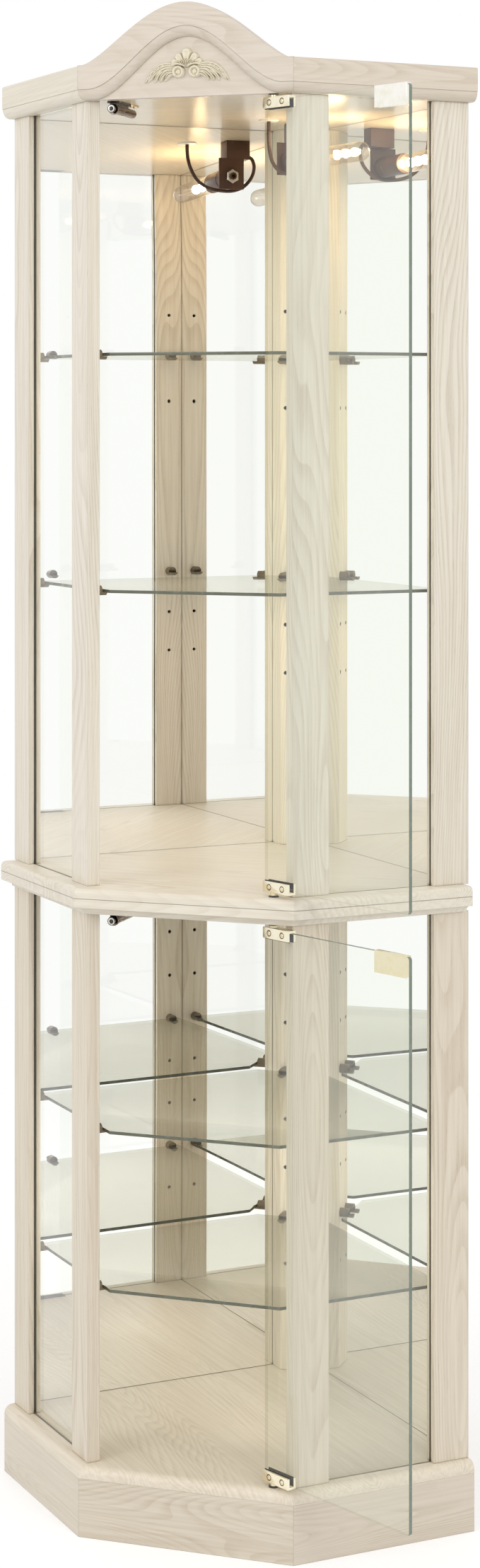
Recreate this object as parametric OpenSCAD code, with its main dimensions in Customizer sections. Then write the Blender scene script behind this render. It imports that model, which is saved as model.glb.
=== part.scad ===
// Lighted corner display cabinet: two stacked glazed carcasses on a plinth, an arched crown,
// mirrored back walls, glass shelves and two frameless glass doors on pivot hinges.
// The back corner points to +Y, the doors face -Y and Z is up from the floor.

/* [Plan] */
// Distance between the two front corners of the carcass
front_w = 259; // [230:1:300]
// Length of each angled side face
side_len = 238; // [200:1:280]
// Width of a corner post along its side face
post_w = 48; // [40:1:56]
// Thickness of a corner post
post_t = 16; // [14:0.5:20]
// Length of the back corner post's sides along the walls
back_post_w = 58; // [50:1:70]
// Width of the back corner post's sides across the walls
back_post_d = 31; // [24:1:38]

/* [Heights] */
// Height of the plinth boards
plinth_h = 70; // [50:1:100]
// Thickness of the board on the plinth
base_board_t = 14; // [12:0.5:20]
// Clear height of the lower display space
lower_h = 660; // [600:5:760]
// Thickness of the lower carcass's top board
lower_top_t = 20; // [16:0.5:26]
// Thickness of the upper carcass's base board
upper_base_t = 12; // [10:0.5:18]
// Clear height of the upper display space
upper_h = 942; // [900:5:1100]
// Height of the crown boards at the sides
crown_h = 41; // [30:1:60]
// Thickness of the ceiling board
ceiling_t = 16; // [12:0.5:20]

/* [Boards and mouldings] */
// How far the plinth stands out past the carcass
plinth_out = 14; // [8:0.5:20]
// Thickness of the plinth boards
plinth_t = 18; // [12:0.5:24]
// Radius of the rounded shoulder on the base board
shoulder_r = 11; // [6:0.5:12]
// How far the waist boards stand out past the carcass
waist_out = 21; // [14:0.5:26]
// How far the waist boards stop short of the back planes
waist_short = 6.5; // [6:0.5:8]
// Radius of the rounded edge of the upper carcass's base board
nose_r = 6; // [3:0.5:8]
// Height of the chamfer under the waist
waist_chamfer_h = 9; // [5:0.5:12]
// Width of the chamfer under the waist
waist_chamfer_w = 15; // [8:0.5:18]
// How far the crown stands out past the carcass
crown_out = 15.5; // [14:0.5:20]
// How far the crown runs past the back posts
crown_end = 4; // [0:0.5:8]
// Thickness of the crown boards
crown_t = 20; // [16:0.5:24]
// Radius of the rounded lower edge of the side crown boards
crown_round_r = 12; // [6:0.5:15]
// Radius of the eased top edges of the crown
crown_ease_r = 3; // [1:0.5:4]

/* [Arched pediment] */
// Rise of the arch above the side crown boards
arch_rise = 70; // [50:1:90]
// Half width of the tympanum
tympanum_half_w = 118; // [100:1:126]
// Height of the tympanum above the crown's lower edge
tympanum_h = 71; // [56:1:76]
// Depth of the tympanum below the front of the pediment
tympanum_depth = 10.5; // [8:0.5:11]
// Width of the carved ornament
ornament_w = 107; // [80:1:120]
// Height of the carved ornament
ornament_h = 42; // [32:1:46]
// Thickness of the carved ornament
ornament_t = 8; // [5:0.5:10]

/* [Glass and mirrors] */
// Thickness of the side glass
side_glass_t = 3; // [3:0.5:5]
// Distance of the side glass behind the face of the posts
side_glass_set = 7.3; // [5:0.1:9]
// Depth of the glass grooves in the posts
groove_depth = 7; // [4:0.5:9]
// Thickness of a mirror
mirror_t = 3; // [3:0.5:5]
// Thickness of a back panel
back_panel_t = 5; // [3:0.5:6]

/* [Shelves] */
// Thickness of a glass shelf
shelf_t = 4; // [3:0.5:6]
// Distance of the shelves' front edge behind the front corners
shelf_front_set = 18; // [17:0.5:30]
// Gap between the shelves and the walls
shelf_gap = 12; // [6:0.5:16]
// Radius of a shelf rest
rest_r = 6; // [5:0.5:7]
// Length over which a shelf lies on each rest
rest_bearing = 6; // [4:0.5:8]
// Spacing of the shelf holes
hole_pitch = 63.5; // [50:0.5:70]
// Radius of the shelf holes
hole_r = 2.5; // [2:0.1:3]
// Depth of the shelf holes
hole_depth = 10; // [7:0.5:11]
// Height of the lowest shelf hole above the base board
lower_hole_z = 140; // [100:1:200]
// Number of shelf holes in a column of the lower carcass
lower_holes = 7; // [4:1:8]
// Height of the lowest shelf hole of the upper carcass above its base board
upper_hole_z = 226; // [180:1:260]
// Number of shelf holes in each of the two groups of the upper carcass
upper_holes = 3; // [2:1:4]
// Height of the upper group of holes above the lower group
upper_group_rise = 349; // [300:1:360]
// Distance of the rear corner posts' shelf holes from the posts' back edge
rear_hole_in = 28; // [24:1:30]
// Distance of the back post's hole columns from its middle
back_hole_x = 12; // [9:0.5:14]

/* [Doors] */
// Thickness of the door glass
door_t = 5; // [4:0.5:6]
// Distance of the doors' middle plane behind the front corners
door_set = 1; // [0.5:0.5:2]
// Distance from a door's free edge to the front corner, across the front
door_side_gap = 5.5; // [5:0.5:12]
// Distance from the pivot to the hinge edge of a door
hinge_back = 13; // [10:0.5:13]
// Distance of the pivot from the front corner, across the front
pivot_in = 23.5; // [23:0.5:28]
// Gap between the top of a door's glass and the board above it
door_gap_top = 7; // [7:0.5:10]
// Gap between the bottom of a door's glass and the board below it
door_gap_bottom = 8; // [7:0.5:10]
// Angle at which the doors stand open
open_angle = 150; // [0:1:155]
// Radius of the door glass's corners
door_corner_r = 4; // [1:0.5:8]

/* [Door fittings] */
// Length of a hinge clamp
clamp_len = 45; // [38:1:60]
// Height of a hinge clamp
clamp_h = 13; // [11:0.5:20]
// Thickness of a hinge clamp's plates
clamp_plate_t = 2.5; // [2:0.1:3]
// Thickness of the pads between the clamp and the glass
pad_t = 1; // [0.6:0.1:1.2]
// Radius of the hinge pins
pin_r = 3; // [2.5:0.1:3.4]
// Radial running clearance of the hinge pins in their bushes
pin_clearance = 0.05; // [0.02:0.01:0.1]
// Outer radius of the pivot bushes
bush_r = 4.5; // [4.2:0.1:4.8]
// Depth of the pivot bushes in the boards
bush_depth = 8; // [6:0.5:9]
// Radius of the clamp screws' heads
screw_r = 2.8; // [2:0.1:3.2]
// Length of a strike clip
strike_len = 52; // [40:1:60]
// Height of a strike clip
strike_h = 25; // [20:1:30]
// Thickness of a strike clip's plate
strike_t = 1.2; // [0.8:0.1:1.4]

/* [Touch latches] */
// Distance of the latches from the front corner, across the front
latch_in = 28.5; // [26:0.5:44]
// Length of a latch barrel
latch_len = 64; // [50:1:75]
// Outer radius of a latch barrel
latch_r = 5.5; // [5:0.1:6.5]
// Radius of a plunger's rod
plunger_rod_r = 3; // [2.5:0.1:3.5]
// Radius of a plunger's head
plunger_head_r = 5; // [4.5:0.1:6]
// Travel of a plunger
plunger_travel = 4.5; // [3:0.5:5]

/* [Lamp] */
// Distance of the lamp's axis below the ceiling
lamp_drop = 49; // [44:1:60]
// Distance of the lamp's bracket from the right mirror
lamp_off_mirror = 69; // [56:1:90]
// Distance of the lamp's bracket from the left mirror
lamp_off_corner = 85; // [80:1:130]
// Angle between the lamp and the right mirror
lamp_skew = 3; // [0:1:8]
// Width of the lamp's ceiling box
lamp_box_w = 34; // [30:1:40]
// Height of the lamp's ceiling box
lamp_box_h = 25; // [24:1:30]
// Depth of the lamp's ceiling box, along the bulb
lamp_box_d = 22; // [18:1:26]
// Radius of the bulb's glass
bulb_r = 12.5; // [9:0.5:15]
// Length of the bulb's glass outside the socket
bulb_len = 122; // [90:1:140]
// Radius of the lamp socket
socket_r = 13.5; // [11:0.5:15]
// Length of the lamp socket
socket_len = 66; // [50:1:70]
// Radius of the lamp cord
cord_r = 2.4; // [1.8:0.1:2.5]
// Radius of the ceiling grommet's flange
grommet_r = 13; // [9:0.5:16]

/* [Hidden] */
$fn = 48;
s45 = sqrt(0.5);
long = 1200;
back_reach = front_w / 2 + 2 * s45 * side_len;
pivot_x = front_w / 2 - pivot_in;
door_reach = pivot_x + front_w / 2 - door_side_gap;
door_far = door_reach * sin(open_angle) + door_t / 2 * abs(cos(open_angle)) - door_set;
front_reach = max(door_far, crown_out, waist_out, plinth_out);
front_y = -(back_reach - front_reach) / 2;
corner_y = front_y + back_reach;

base_z = plinth_h;
lower_z = base_z + base_board_t;
lower_top_z = lower_z + lower_h;
waist_z = lower_top_z + lower_top_t;
upper_z = waist_z + upper_base_t;
crown_z = upper_z + upper_h;
quirk = 0.8;
crown_edge = front_w / 2 + crown_out;
arch_steps = 48;
arch_fullness = 0.67;
field_fullness = 0.89;
band_half_w = tympanum_half_w + 4;

// Leaves of the ornament: shares of its half width and height, tip radius, share of its thickness
LEAVES = [[0.96, 0.02, 1.4, 0.35], [0.84, 0.2, 1.8, 0.5], [0.66, 0.38, 2.2, 0.62], [0.5, 0.1, 2.6, 0.7]];
PETAL_TURNS = [-70, -35, 0, 35, 70];
ornament_rise = 17;
leaf_root = [0.22, 0.34];
leaf_root_r = 4;
leaf_root_t = 0.8;
leaf_tip_lift = 2;
scroll_mid = [0.13, 0.3];
scroll_r = 6.4;
scroll_t = 0.9;
petal_root = 0.42;
petal_root_r = 3;
petal_r = 4.6;
petal_t = 0.75;
petal_hub = 0.48;
petal_reach = 0.52;
petal_shrink = 0.1;

panel_lap = 6;
play = 0.2;
mirror_set = mirror_t + back_panel_t;
wall_len = front_w / 2 / s45 + side_len;
wall_end_d = wall_len - back_post_w;
back_post_face_y = corner_y - s45 * (back_post_w + back_post_d);

rest_ease = 0.5;
pin_play = 0.05;
shelf_lift = -shelf_t / 2;

pivot_y = front_y + door_set;
clamp_bridge_t = 3;
clamp_half_t = door_t / 2 + pad_t + clamp_plate_t;
clamp_mid = hinge_back - clamp_len / 2;
strike_edge_in = 3;
screw_pitch = clamp_len / 2;
screw_proud = 0.8;
screw_drop = clamp_bridge_t - clamp_h / 2;
cross_share = 0.6;
cross_w = 0.7;
cross_depth = 1;
pad_inset = 1;
hinge_collar_r = pin_r + 1.2;
pin_end_gap = 0.5;
bush_flange_r = bush_r + 1.5;
bush_flange_t = 1.2;
collar_gap = 0.1;

latch_x = front_w / 2 - latch_in;
latch_drop = latch_r + 4;
latch_plate_w = 16;
latch_plate_t = 2;
latch_collar_w = 1;
latch_collar_len = 4;
latch_web_t = 5;
latch_web_low = 0.8;
latch_web_high = 0.35;
latch_clearance = 0.1;
plunger_head_t = 3;
plunger_rod_len = 30;
plunger_tip_y = pivot_y + door_t / 2 + strike_t + 0.4;
latch_y = plunger_tip_y + plunger_head_t + plunger_travel + 0.4;

grommet_neck_r = 5.5;
grommet_t = 2;
lamp_nut_t = 5;
lamp_plate_t = 2.5;
lamp_plate_w = 36;
lamp_plate_drop = 17;
lamp_plate_lap = 1;
lamp_nut_r = 9.5;
nipple_r = 5;
nipple_bore_r = 3;
nipple_proud = 2;
socket_ease = 2;
socket_rim_w = 1;
socket_rim_h = 3;
bulb_neck = 8;
bulb_base_r = 9;
bulb_base_len = 22;
cord_sides = 8;
cord_steps = 4;
cord_entry_z = lamp_drop - lamp_box_h + 4;
CORD_ROUTE = [
    [36, -50, lamp_drop + 12], [36, -50, lamp_drop + 1], [36, -50, lamp_drop - 11],
    [34, -49, lamp_drop - 25], [30, -45, 9], [25, -38, -4], [20, -26, -13], [16, -10, -17],
    [14, 8, -17], [12, 23, -11], [12, 34, 1], [12, 38, cord_entry_z - 14],
    [12, 36, cord_entry_z - 4], [12, 32, cord_entry_z], [12, 27, cord_entry_z]
];
lamp_box_side = CORD_ROUTE[len(CORD_ROUTE) - 1][1];

// Point in plan at a along a side face and d behind it, on the right (k = 1) or left (k = -1)
function side_pt(k, a, d) = [k * (front_w / 2 + s45 * (a - d)), front_y + s45 * (a + d)];

// Points of an arc from angle a0 to a1
function arc(cx, cy, r, a0, a1, n = 8) =
    [for (i = [0:n]) [cx + r * cos(a0 + (a1 - a0) * i / n), cy + r * sin(a0 + (a1 - a0) * i / n)]];

// Bell curve of the arched pediment
function bell(x, half, rise, fullness) =
    rise * pow((1 + cos(180 * min(abs(x) / half, 1))) / 2, fullness);
function arch_top(x) = crown_z + crown_h + bell(x, front_w / 2, arch_rise, arch_fullness);
function field_top(x) = crown_z + bell(x, tympanum_half_w, tympanum_h, field_fullness);
function band_top(x) = crown_z + crown_round_r + bell(x, band_half_w, tympanum_h, field_fullness);

// Plan rectangle between a0 and a1 along a side face and d0 and d1 behind it
function side_rect(k, a0, a1, d0, d1) =
    [side_pt(k, a0, d0), side_pt(k, a1, d0), side_pt(k, a1, d1), side_pt(k, a0, d1)];

// Plan outline of a board that stands out past the front and sides, short of the back planes
function board_outline(out, short = 0) = [
    side_pt(-1, -out * tan(22.5), -out), side_pt(1, -out * tan(22.5), -out),
    side_pt(1, side_len - short, -out), side_pt(1, side_len - short, wall_len - short),
    side_pt(-1, side_len - short, -out)
];

// Plan outline of the zone between the mitre joints: k = -1 left, 0 front, 1 right
function mitre_zone(k, reach = 60) =
    let (x_out = front_w / 2 + reach * tan(22.5), x_in = front_w / 2 - reach * tan(22.5))
    k == 0
        ? [[-x_out, front_y - reach], [x_out, front_y - reach],
           [x_in, front_y + reach], [-x_in, front_y + reach]]
        : [[k * x_out, front_y - reach], [k * long, front_y - reach],
           [k * long, front_y + long], [k * x_in, front_y + reach]];

// Section of the rounded moulding as [share of its width, depth below the front]
function round_section(depth, n = 8) =
    [for (i = [0:n]) [sin(90 * i / n), quirk + (depth - quirk) * (1 - cos(90 * i / n))]];

// Extrudes a profile along the front (k = 0) or a side, from a0 to a1: X is outward, Y is up
module along_edge(k, a0 = -long, a1 = long) {
    translate([k * front_w / 2, front_y, 0])
        rotate([90, 0, -90 + 45 * k])
            translate([0, 0, k > 0 ? -a1 : a0])
                linear_extrude(height = a1 - a0) children();
}

module plan_block(points, z0, z1) {
    translate([0, 0, z0]) linear_extrude(height = z1 - z0) polygon(points);
}

// A board with one profile worked on its front and side edges
module moulded_board(z, t, profile, out, short = 0) {
    intersection() {
        along_edge(-1) translate([0, z]) polygon(profile);
        along_edge(0) translate([0, z]) polygon(profile);
        along_edge(1) translate([0, z]) polygon(profile);
        plan_block(board_outline(out, short), z - 1, z + t + 1);
    }
}

// Joins equal loops of points into a closed skin
module loft(loops) {
    n = len(loops[0]);
    m = len(loops);
    polyhedron(
        points = [for (ring = loops) for (point = ring) point],
        faces = concat(
            [[for (j = [0:n - 1]) j]],
            [[for (j = [n - 1:-1:0]) (m - 1) * n + j]],
            [for (i = [0:m - 2]) for (j = [0:n - 1])
                [i * n + j, (i + 1) * n + (j + 1) % n, i * n + (j + 1) % n]],
            [for (i = [0:m - 2]) for (j = [0:n - 1])
                [i * n + j, (i + 1) * n + j, (i + 1) * n + (j + 1) % n]]
        )
    );
}

module wood() { color("linen") children(); }
module clear_glass() { color("lightcyan", 0.4) children(); }
module brown_plastic() { color("saddlebrown") children(); }
module brass() { color("gold") children(); }

// ---- Plinth ----

module plinth_board(k) {
    wood() intersection() {
        along_edge(k, -long, k == 0 ? long : side_len)
            translate([plinth_out - plinth_t, 0]) square([plinth_t, plinth_h]);
        plan_block(mitre_zone(k), 0, plinth_h);
    }
}
module plinth_front() { plinth_board(0); }
module plinth_left() { plinth_board(-1); }
module plinth_right() { plinth_board(1); }

module plinth_back_rails() {
    rail_start = plinth_t - plinth_out;
    wood() for (k = [-1, 1])
        plan_block([side_pt(k, side_len - plinth_t, rail_start), side_pt(k, side_len, rail_start),
            side_pt(k, side_len, wall_len - play),
            side_pt(k, side_len - plinth_t, wall_len - plinth_t - play)],
            0, plinth_h);
}

// ---- Boards ----

module bush_hole(z) {
    translate([pivot_x, pivot_y, z]) cylinder(r = bush_r, h = bush_depth);
}

module base_board() {
    profile = concat([[-long, 0], [plinth_out, 0]],
        arc(plinth_out - shoulder_r, base_board_t - shoulder_r, shoulder_r, 0, 90),
        [[-long, base_board_t]]);
    wood() difference() {
        moulded_board(base_z, base_board_t, profile, plinth_out);
        bush_hole(lower_z - bush_depth);
    }
}

module lower_top_board() {
    cove = [for (i = [0:8])
        [waist_out - waist_chamfer_w * cos(90 * i / 8), waist_chamfer_h * sin(90 * i / 8)]];
    profile = concat([[-long, 0]], cove, [[waist_out, lower_top_t], [-long, lower_top_t]]);
    wood() difference() {
        moulded_board(lower_top_z, lower_top_t, profile, waist_out, waist_short);
        bush_hole(lower_top_z);
    }
}

module upper_base_board() {
    profile = concat([[-long, 0], [waist_out, 0]],
        arc(waist_out - nose_r, upper_base_t - nose_r, nose_r, 0, 90),
        [[-long, upper_base_t]]);
    wood() difference() {
        moulded_board(waist_z, upper_base_t, profile, waist_out, waist_short);
        bush_hole(upper_z - bush_depth);
    }
}

module ceiling_board() {
    inset = crown_t - crown_out;
    wood() difference() {
        plan_block(board_outline(-inset), crown_z, crown_z + ceiling_t);
        bush_hole(crown_z);
        lamp_place() grommet_place() cylinder(r = grommet_neck_r + play, h = ceiling_t);
    }
}

// ---- Posts ----

function lower_holes_z() = [for (i = [0:lower_holes - 1]) lower_z + lower_hole_z + i * hole_pitch];
function upper_holes_z() = [for (g = [0, 1]) for (i = [0:upper_holes - 1])
    upper_z + upper_hole_z + g * upper_group_rise + i * hole_pitch];

// Shelf holes of a corner post along its side face, at the front (end = 0) or back (end = 1)
function hole_a(end) = end == 0 ? post_w / 2 : side_len - rear_hole_in;

// Moves to the inner face of a corner post, with X pointing into the cabinet
module at_post(k, end, z) {
    p = side_pt(k, hole_a(end), post_t);
    translate([p[0], p[1], z]) rotate([0, 0, 90 + 45 * k]) children();
}

// Moves to the front of the back post, with X pointing into the cabinet
module at_back_post(k, z) {
    translate([k * back_hole_x, back_post_face_y, z]) rotate([0, 0, -90]) children();
}

module shelf_hole() {
    translate([-hole_depth, 0, 0]) rotate([0, 90, 0]) cylinder(r = hole_r, h = hole_depth + 1);
}

module corner_post(k, end, z0, z1, holes) {
    a0 = end == 0 ? 0 : side_len - post_w;
    groove_a = end == 0 ? post_w - groove_depth : side_len - post_w - 1;
    wood() difference() {
        plan_block(side_rect(k, a0, a0 + post_w, 0, post_t), z0, z1);
        plan_block(side_rect(k, groove_a, groove_a + groove_depth + 1,
            side_glass_set - play / 2, side_glass_set + side_glass_t + play / 2), z0 - 1, z1 + 1);
        if (end == 1)
            plan_block(side_rect(k, side_len - mirror_set - play / 2, side_len + 1,
                post_t - panel_lap, post_t + 1), z0 - 1, z1 + 1);
        for (z = holes) at_post(k, end, z) shelf_hole();
    }
}

module back_post(z0, z1, holes) {
    rabbet = mirror_set + play / 2;
    lap = back_post_w - panel_lap;
    half = [[0, 0], [lap, 0], [lap, rabbet], [back_post_w, rabbet], [back_post_w, back_post_d]];
    outline = concat(half, [for (i = [4:-1:1]) [half[i][1], half[i][0]]]);
    wood() difference() {
        plan_block([for (p = outline) [(p[1] - p[0]) * s45, corner_y - (p[0] + p[1]) * s45]], z0, z1);
        for (z = holes) for (k = [-1, 1]) at_back_post(k, z) shelf_hole();
    }
}

module lower_post(k, end) { corner_post(k, end, lower_z, lower_top_z, lower_holes_z()); }
module upper_post(k, end) { corner_post(k, end, upper_z, crown_z, upper_holes_z()); }
module lower_post_back_left() { lower_post(-1, 1); }
module lower_post_front_left() { lower_post(-1, 0); }
module lower_post_front_right() { lower_post(1, 0); }
module lower_post_back_right() { lower_post(1, 1); }
module lower_back_post() { back_post(lower_z, lower_top_z, lower_holes_z()); }
module upper_post_back_left() { upper_post(-1, 1); }
module upper_post_front_left() { upper_post(-1, 0); }
module upper_post_front_right() { upper_post(1, 0); }
module upper_post_back_right() { upper_post(1, 1); }
module upper_back_post() { back_post(upper_z, crown_z, upper_holes_z()); }

// ---- Side glass, mirrors and back panels ----

module side_glass(k, z0, z1) {
    edge = post_w - groove_depth + play;
    clear_glass() plan_block(side_rect(k, edge, side_len - edge,
        side_glass_set, side_glass_set + side_glass_t), z0, z1 - play);
}
module lower_glass_left() { side_glass(-1, lower_z, lower_top_z); }
module lower_glass_right() { side_glass(1, lower_z, lower_top_z); }
module upper_glass_left() { side_glass(-1, upper_z, crown_z); }
module upper_glass_right() { side_glass(1, upper_z, crown_z); }

// A sheet along a back wall, between a0 and a1 measured along the side face
module wall_sheet(k, a0, a1, z0, z1) {
    plan_block(side_rect(k, a0, a1, post_t - panel_lap + play, wall_end_d + panel_lap - play), z0, z1);
}
module mirror_sheet(k, z0, z1) {
    color("silver") wall_sheet(k, side_len - mirror_set, side_len - back_panel_t, z0, z1 - play);
}
module lower_mirror_left() { mirror_sheet(-1, lower_z, lower_top_z); }
module lower_mirror_right() { mirror_sheet(1, lower_z, lower_top_z); }
module upper_mirror_left() { mirror_sheet(-1, upper_z, crown_z); }
module upper_mirror_right() { mirror_sheet(1, upper_z, crown_z); }

module back_panels(z0, z1) {
    color("tan") for (k = [-1, 1]) wall_sheet(k, side_len - back_panel_t, side_len, z0, z1);
}
module lower_back_panels() { back_panels(lower_z, waist_z); }
module upper_back_panels() { back_panels(waist_z, crown_z); }

// ---- Crown ----

function arch_x(half) = [for (i = [0:arch_steps]) half * (2 * i / arch_steps - 1)];

// Extrudes an upright outline across the front between two distances in front of the carcass
module along_edge_front(out0, out1) {
    translate([0, front_y - out0, 0]) rotate([90, 0, 0]) linear_extrude(height = out1 - out0) children();
}

module crown_front() {
    top = concat([for (x = arch_x(front_w / 2)) [x, arch_top(x)]], [[crown_edge, arch_top(crown_edge)]]);
    band = concat([[crown_edge, band_top(crown_edge)]],
        [for (x = arch_x(-band_half_w)) [x, band_top(x)]], [[-crown_edge, band_top(crown_edge)]]);
    start = [[-crown_edge, arch_top(crown_edge)]];
    wood() difference() {
        intersection() {
            union() {
                along_edge_front(crown_out - tympanum_depth, crown_out) polygon(concat(start, top, band));
                along_edge_front(crown_out - crown_t, crown_out - tympanum_depth)
                    polygon(concat(start, top, [[crown_edge, crown_z], [-crown_edge, crown_z]]));
            }
            plan_block(mitre_zone(0), crown_z, crown_z + crown_h + arch_rise + 1);
        }
        bush_hole(crown_z);
    }
}

module crown_side(k) {
    lower = [for (p = round_section(tympanum_depth)) [crown_out - p[1], crown_round_r * (1 - p[0])]];
    lower_up = [for (i = [len(lower) - 1:-1:0]) lower[i]];
    inner = crown_out - crown_t;
    profile = concat([[inner, 0]], lower_up, [[crown_out, crown_round_r]],
        arc(crown_out - crown_ease_r, crown_h - crown_ease_r, crown_ease_r, 0, 90, 4), [[inner, crown_h]]);
    wood() intersection() {
        along_edge(k, -long, side_len + crown_end) translate([0, crown_z]) polygon(profile);
        plan_block(mitre_zone(k), crown_z, crown_z + crown_h);
    }
}
module crown_left() { crown_side(-1); }
module crown_right() { crown_side(1); }

module arch_moulding() {
    section = concat(round_section(tympanum_depth), [[0, tympanum_depth]]);
    // A ring of section points at share t of the arch's half width
    function ring(t) = [for (p = section)
        [t * (band_half_w + (tympanum_half_w - band_half_w) * p[0]),
         front_y - crown_out + p[1],
         band_top(t * band_half_w) * (1 - p[0]) + field_top(t * tympanum_half_w) * p[0]]];
    function mitre_ring(k) = [for (p = section)
        [k * (front_w / 2 + (crown_out - p[1]) * tan(22.5)),
         front_y - crown_out + p[1],
         crown_z + crown_round_r * (1 - p[0])]];
    wood() loft(concat([mitre_ring(-1)], [for (t = arch_x(1)) ring(t)], [mitre_ring(1)]));
}

module ornament() {
    floor_y = front_y - crown_out + tympanum_depth;
    half = ornament_w / 2;
    wood() translate([0, floor_y, crown_z + ornament_rise]) rotate([90, 0, 0]) {
        for (k = [-1, 1]) {
            for (leaf = LEAVES)
                hull() {
                    translate([k * leaf_root[0] * half, leaf_root[1] * ornament_h, 0])
                        cylinder(r = leaf_root_r, h = ornament_t * leaf_root_t, $fn = 20);
                    translate([k * leaf[0] * half, leaf[1] * ornament_h + leaf_tip_lift, 0])
                        cylinder(r = leaf[2], h = ornament_t * leaf[3], $fn = 12);
                }
            translate([k * scroll_mid[0] * half, scroll_mid[1] * ornament_h, 0])
                cylinder(r = scroll_r, h = ornament_t * scroll_t, $fn = 24);
        }
        for (turn = PETAL_TURNS)
            hull() {
                translate([0, petal_root * ornament_h, 0])
                    cylinder(r = petal_root_r, h = ornament_t, $fn = 16);
                translate([0, petal_hub * ornament_h, 0]) rotate([0, 0, turn])
                    translate([0, (petal_reach - petal_shrink * abs(turn) / 60) * ornament_h - petal_r, 0])
                        cylinder(r = petal_r, h = ornament_t * petal_t, $fn = 20);
            }
    }
}

// ---- Shelves ----

function shelf_level(holes, i) = holes[i] + shelf_lift;

module shelf(z) {
    d = post_t + shelf_gap;
    a_front = shelf_front_set / s45 - d;
    a_wall = side_len - mirror_set - shelf_gap;
    d_back = (back_post_face_y - shelf_gap - front_y) / s45 - a_wall;
    right = [side_pt(1, a_front, d), side_pt(1, a_wall, d), side_pt(1, a_wall, d_back)];
    left = [for (i = [2:-1:0]) [-right[i][0], right[i][1]]];
    clear_glass() plan_block(concat(right, left), z, z + shelf_t);
}
module lower_shelf_bottom() { shelf(shelf_level(lower_holes_z(), 1)); }
module lower_shelf_top() { shelf(shelf_level(lower_holes_z(), 4)); }
module upper_shelf_bottom() { shelf(shelf_level(upper_holes_z(), upper_holes - 1)); }
module upper_shelf_top() { shelf(shelf_level(upper_holes_z(), 2 * upper_holes - 2)); }

module shelf_pin() {
    rotate([0, 90, 0]) difference() {
        union() {
            cylinder(r = rest_r, h = shelf_gap + rest_bearing);
            translate([0, 0, play - hole_depth])
                cylinder(r = hole_r - pin_play, h = hole_depth - play + 1);
        }
        translate([-rest_r - 1, -rest_r - 1, shelf_gap - rest_ease])
            cube([rest_r + 1 - shelf_lift, 2 * rest_r + 2, rest_bearing + rest_ease + 1]);
    }
}

module shelf_pins(levels) {
    brown_plastic() for (z = levels) for (k = [-1, 1]) {
        for (end = [0, 1]) at_post(k, end, z) shelf_pin();
        at_back_post(k, z) shelf_pin();
    }
}
module lower_shelf_pins() { shelf_pins([lower_holes_z()[1], lower_holes_z()[4]]); }
module upper_shelf_pins() {
    shelf_pins([upper_holes_z()[upper_holes - 1], upper_holes_z()[2 * upper_holes - 2]]);
}

// ---- Doors ----

// A door is drawn closed, with its pivot at the origin and its free edge at -X, then opened
module door_place() {
    translate([pivot_x, pivot_y, 0]) rotate([0, 0, open_angle]) children();
}

module door_glass(z0, z1) {
    r = door_corner_r;
    x0 = -door_reach;
    x1 = hinge_back;
    outline = concat(arc(x1 - r, z1 - r, r, 0, 90, 4), arc(x0 + r, z1 - r, r, 90, 180, 4),
        arc(x0 + r, z0 + r, r, 180, 270, 4), arc(x1 - r, z0 + r, r, 270, 360, 4));
    clear_glass() door_place() rotate([90, 0, 0])
        linear_extrude(height = door_t, center = true) polygon(outline);
}
function door_z0(floor_z) = floor_z + door_gap_bottom;
function door_z1(top_z) = top_z - door_gap_top;

// Turns a fitting drawn for the top edge of a door at z = 0 to that edge
module at_door_top(top_z) { translate([0, 0, door_z1(top_z)]) children(); }
module at_door_bottom(floor_z) {
    translate([0, 0, door_z0(floor_z)]) mirror([0, 0, 1]) children();
}

// A clamp for the top edge: plates, bridge, shoulder and pivot pin
module hinge_clamp(gap) {
    difference() {
        union() {
            for (k = [-1, 1])
                translate([hinge_back - clamp_len, k > 0 ? clamp_half_t - clamp_plate_t : -clamp_half_t,
                    clamp_bridge_t - clamp_h])
                    cube([clamp_len, clamp_plate_t, clamp_h]);
            translate([hinge_back - clamp_len, -clamp_half_t, 0])
                cube([clamp_len, 2 * clamp_half_t, clamp_bridge_t]);
            cylinder(r = pin_r, h = gap + bush_depth - pin_end_gap);
            cylinder(r = hinge_collar_r, h = gap - bush_flange_t - collar_gap);
        }
        for (k = [-1, 1])
            translate([clamp_mid + k * screw_pitch / 2, 0, screw_drop]) rotate([-90, 0, 0])
                cylinder(r = screw_r + play / 2, h = 2 * clamp_half_t);
    }
}

module hinge_pad_pair() {
    for (k = [-1, 1])
        translate([hinge_back - clamp_len + pad_inset, k > 0 ? door_t / 2 : -door_t / 2 - pad_t,
            clamp_bridge_t - clamp_h - pad_inset])
            cube([clamp_len - 2 * pad_inset, pad_t, clamp_h - clamp_bridge_t + pad_inset]);
}

module clamp_screw_pair() {
    for (k = [-1, 1])
        translate([clamp_mid + k * screw_pitch / 2, door_t / 2 + pad_t, screw_drop]) rotate([-90, 0, 0])
            difference() {
                cylinder(r = screw_r, h = clamp_plate_t + screw_proud);
                for (turn = [45, 135])
                    rotate([0, 0, turn])
                        translate([-screw_r * cross_share, -cross_w / 2,
                            clamp_plate_t + screw_proud - cross_depth])
                            cube([2 * screw_r * cross_share, cross_w, cross_depth + 1]);
            }
}

module strike_clip(top_z) {
    half = door_t / 2;
    color("gainsboro") door_place() translate([strike_edge_in - door_reach, 0, door_z1(top_z)])
        difference() {
            translate([0, -half - strike_t, strike_t - strike_h])
                cube([strike_len, door_t + 2 * strike_t, strike_h]);
            translate([-1, -half, -strike_h]) cube([strike_len + 2, door_t, strike_h]);
        }
}

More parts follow.
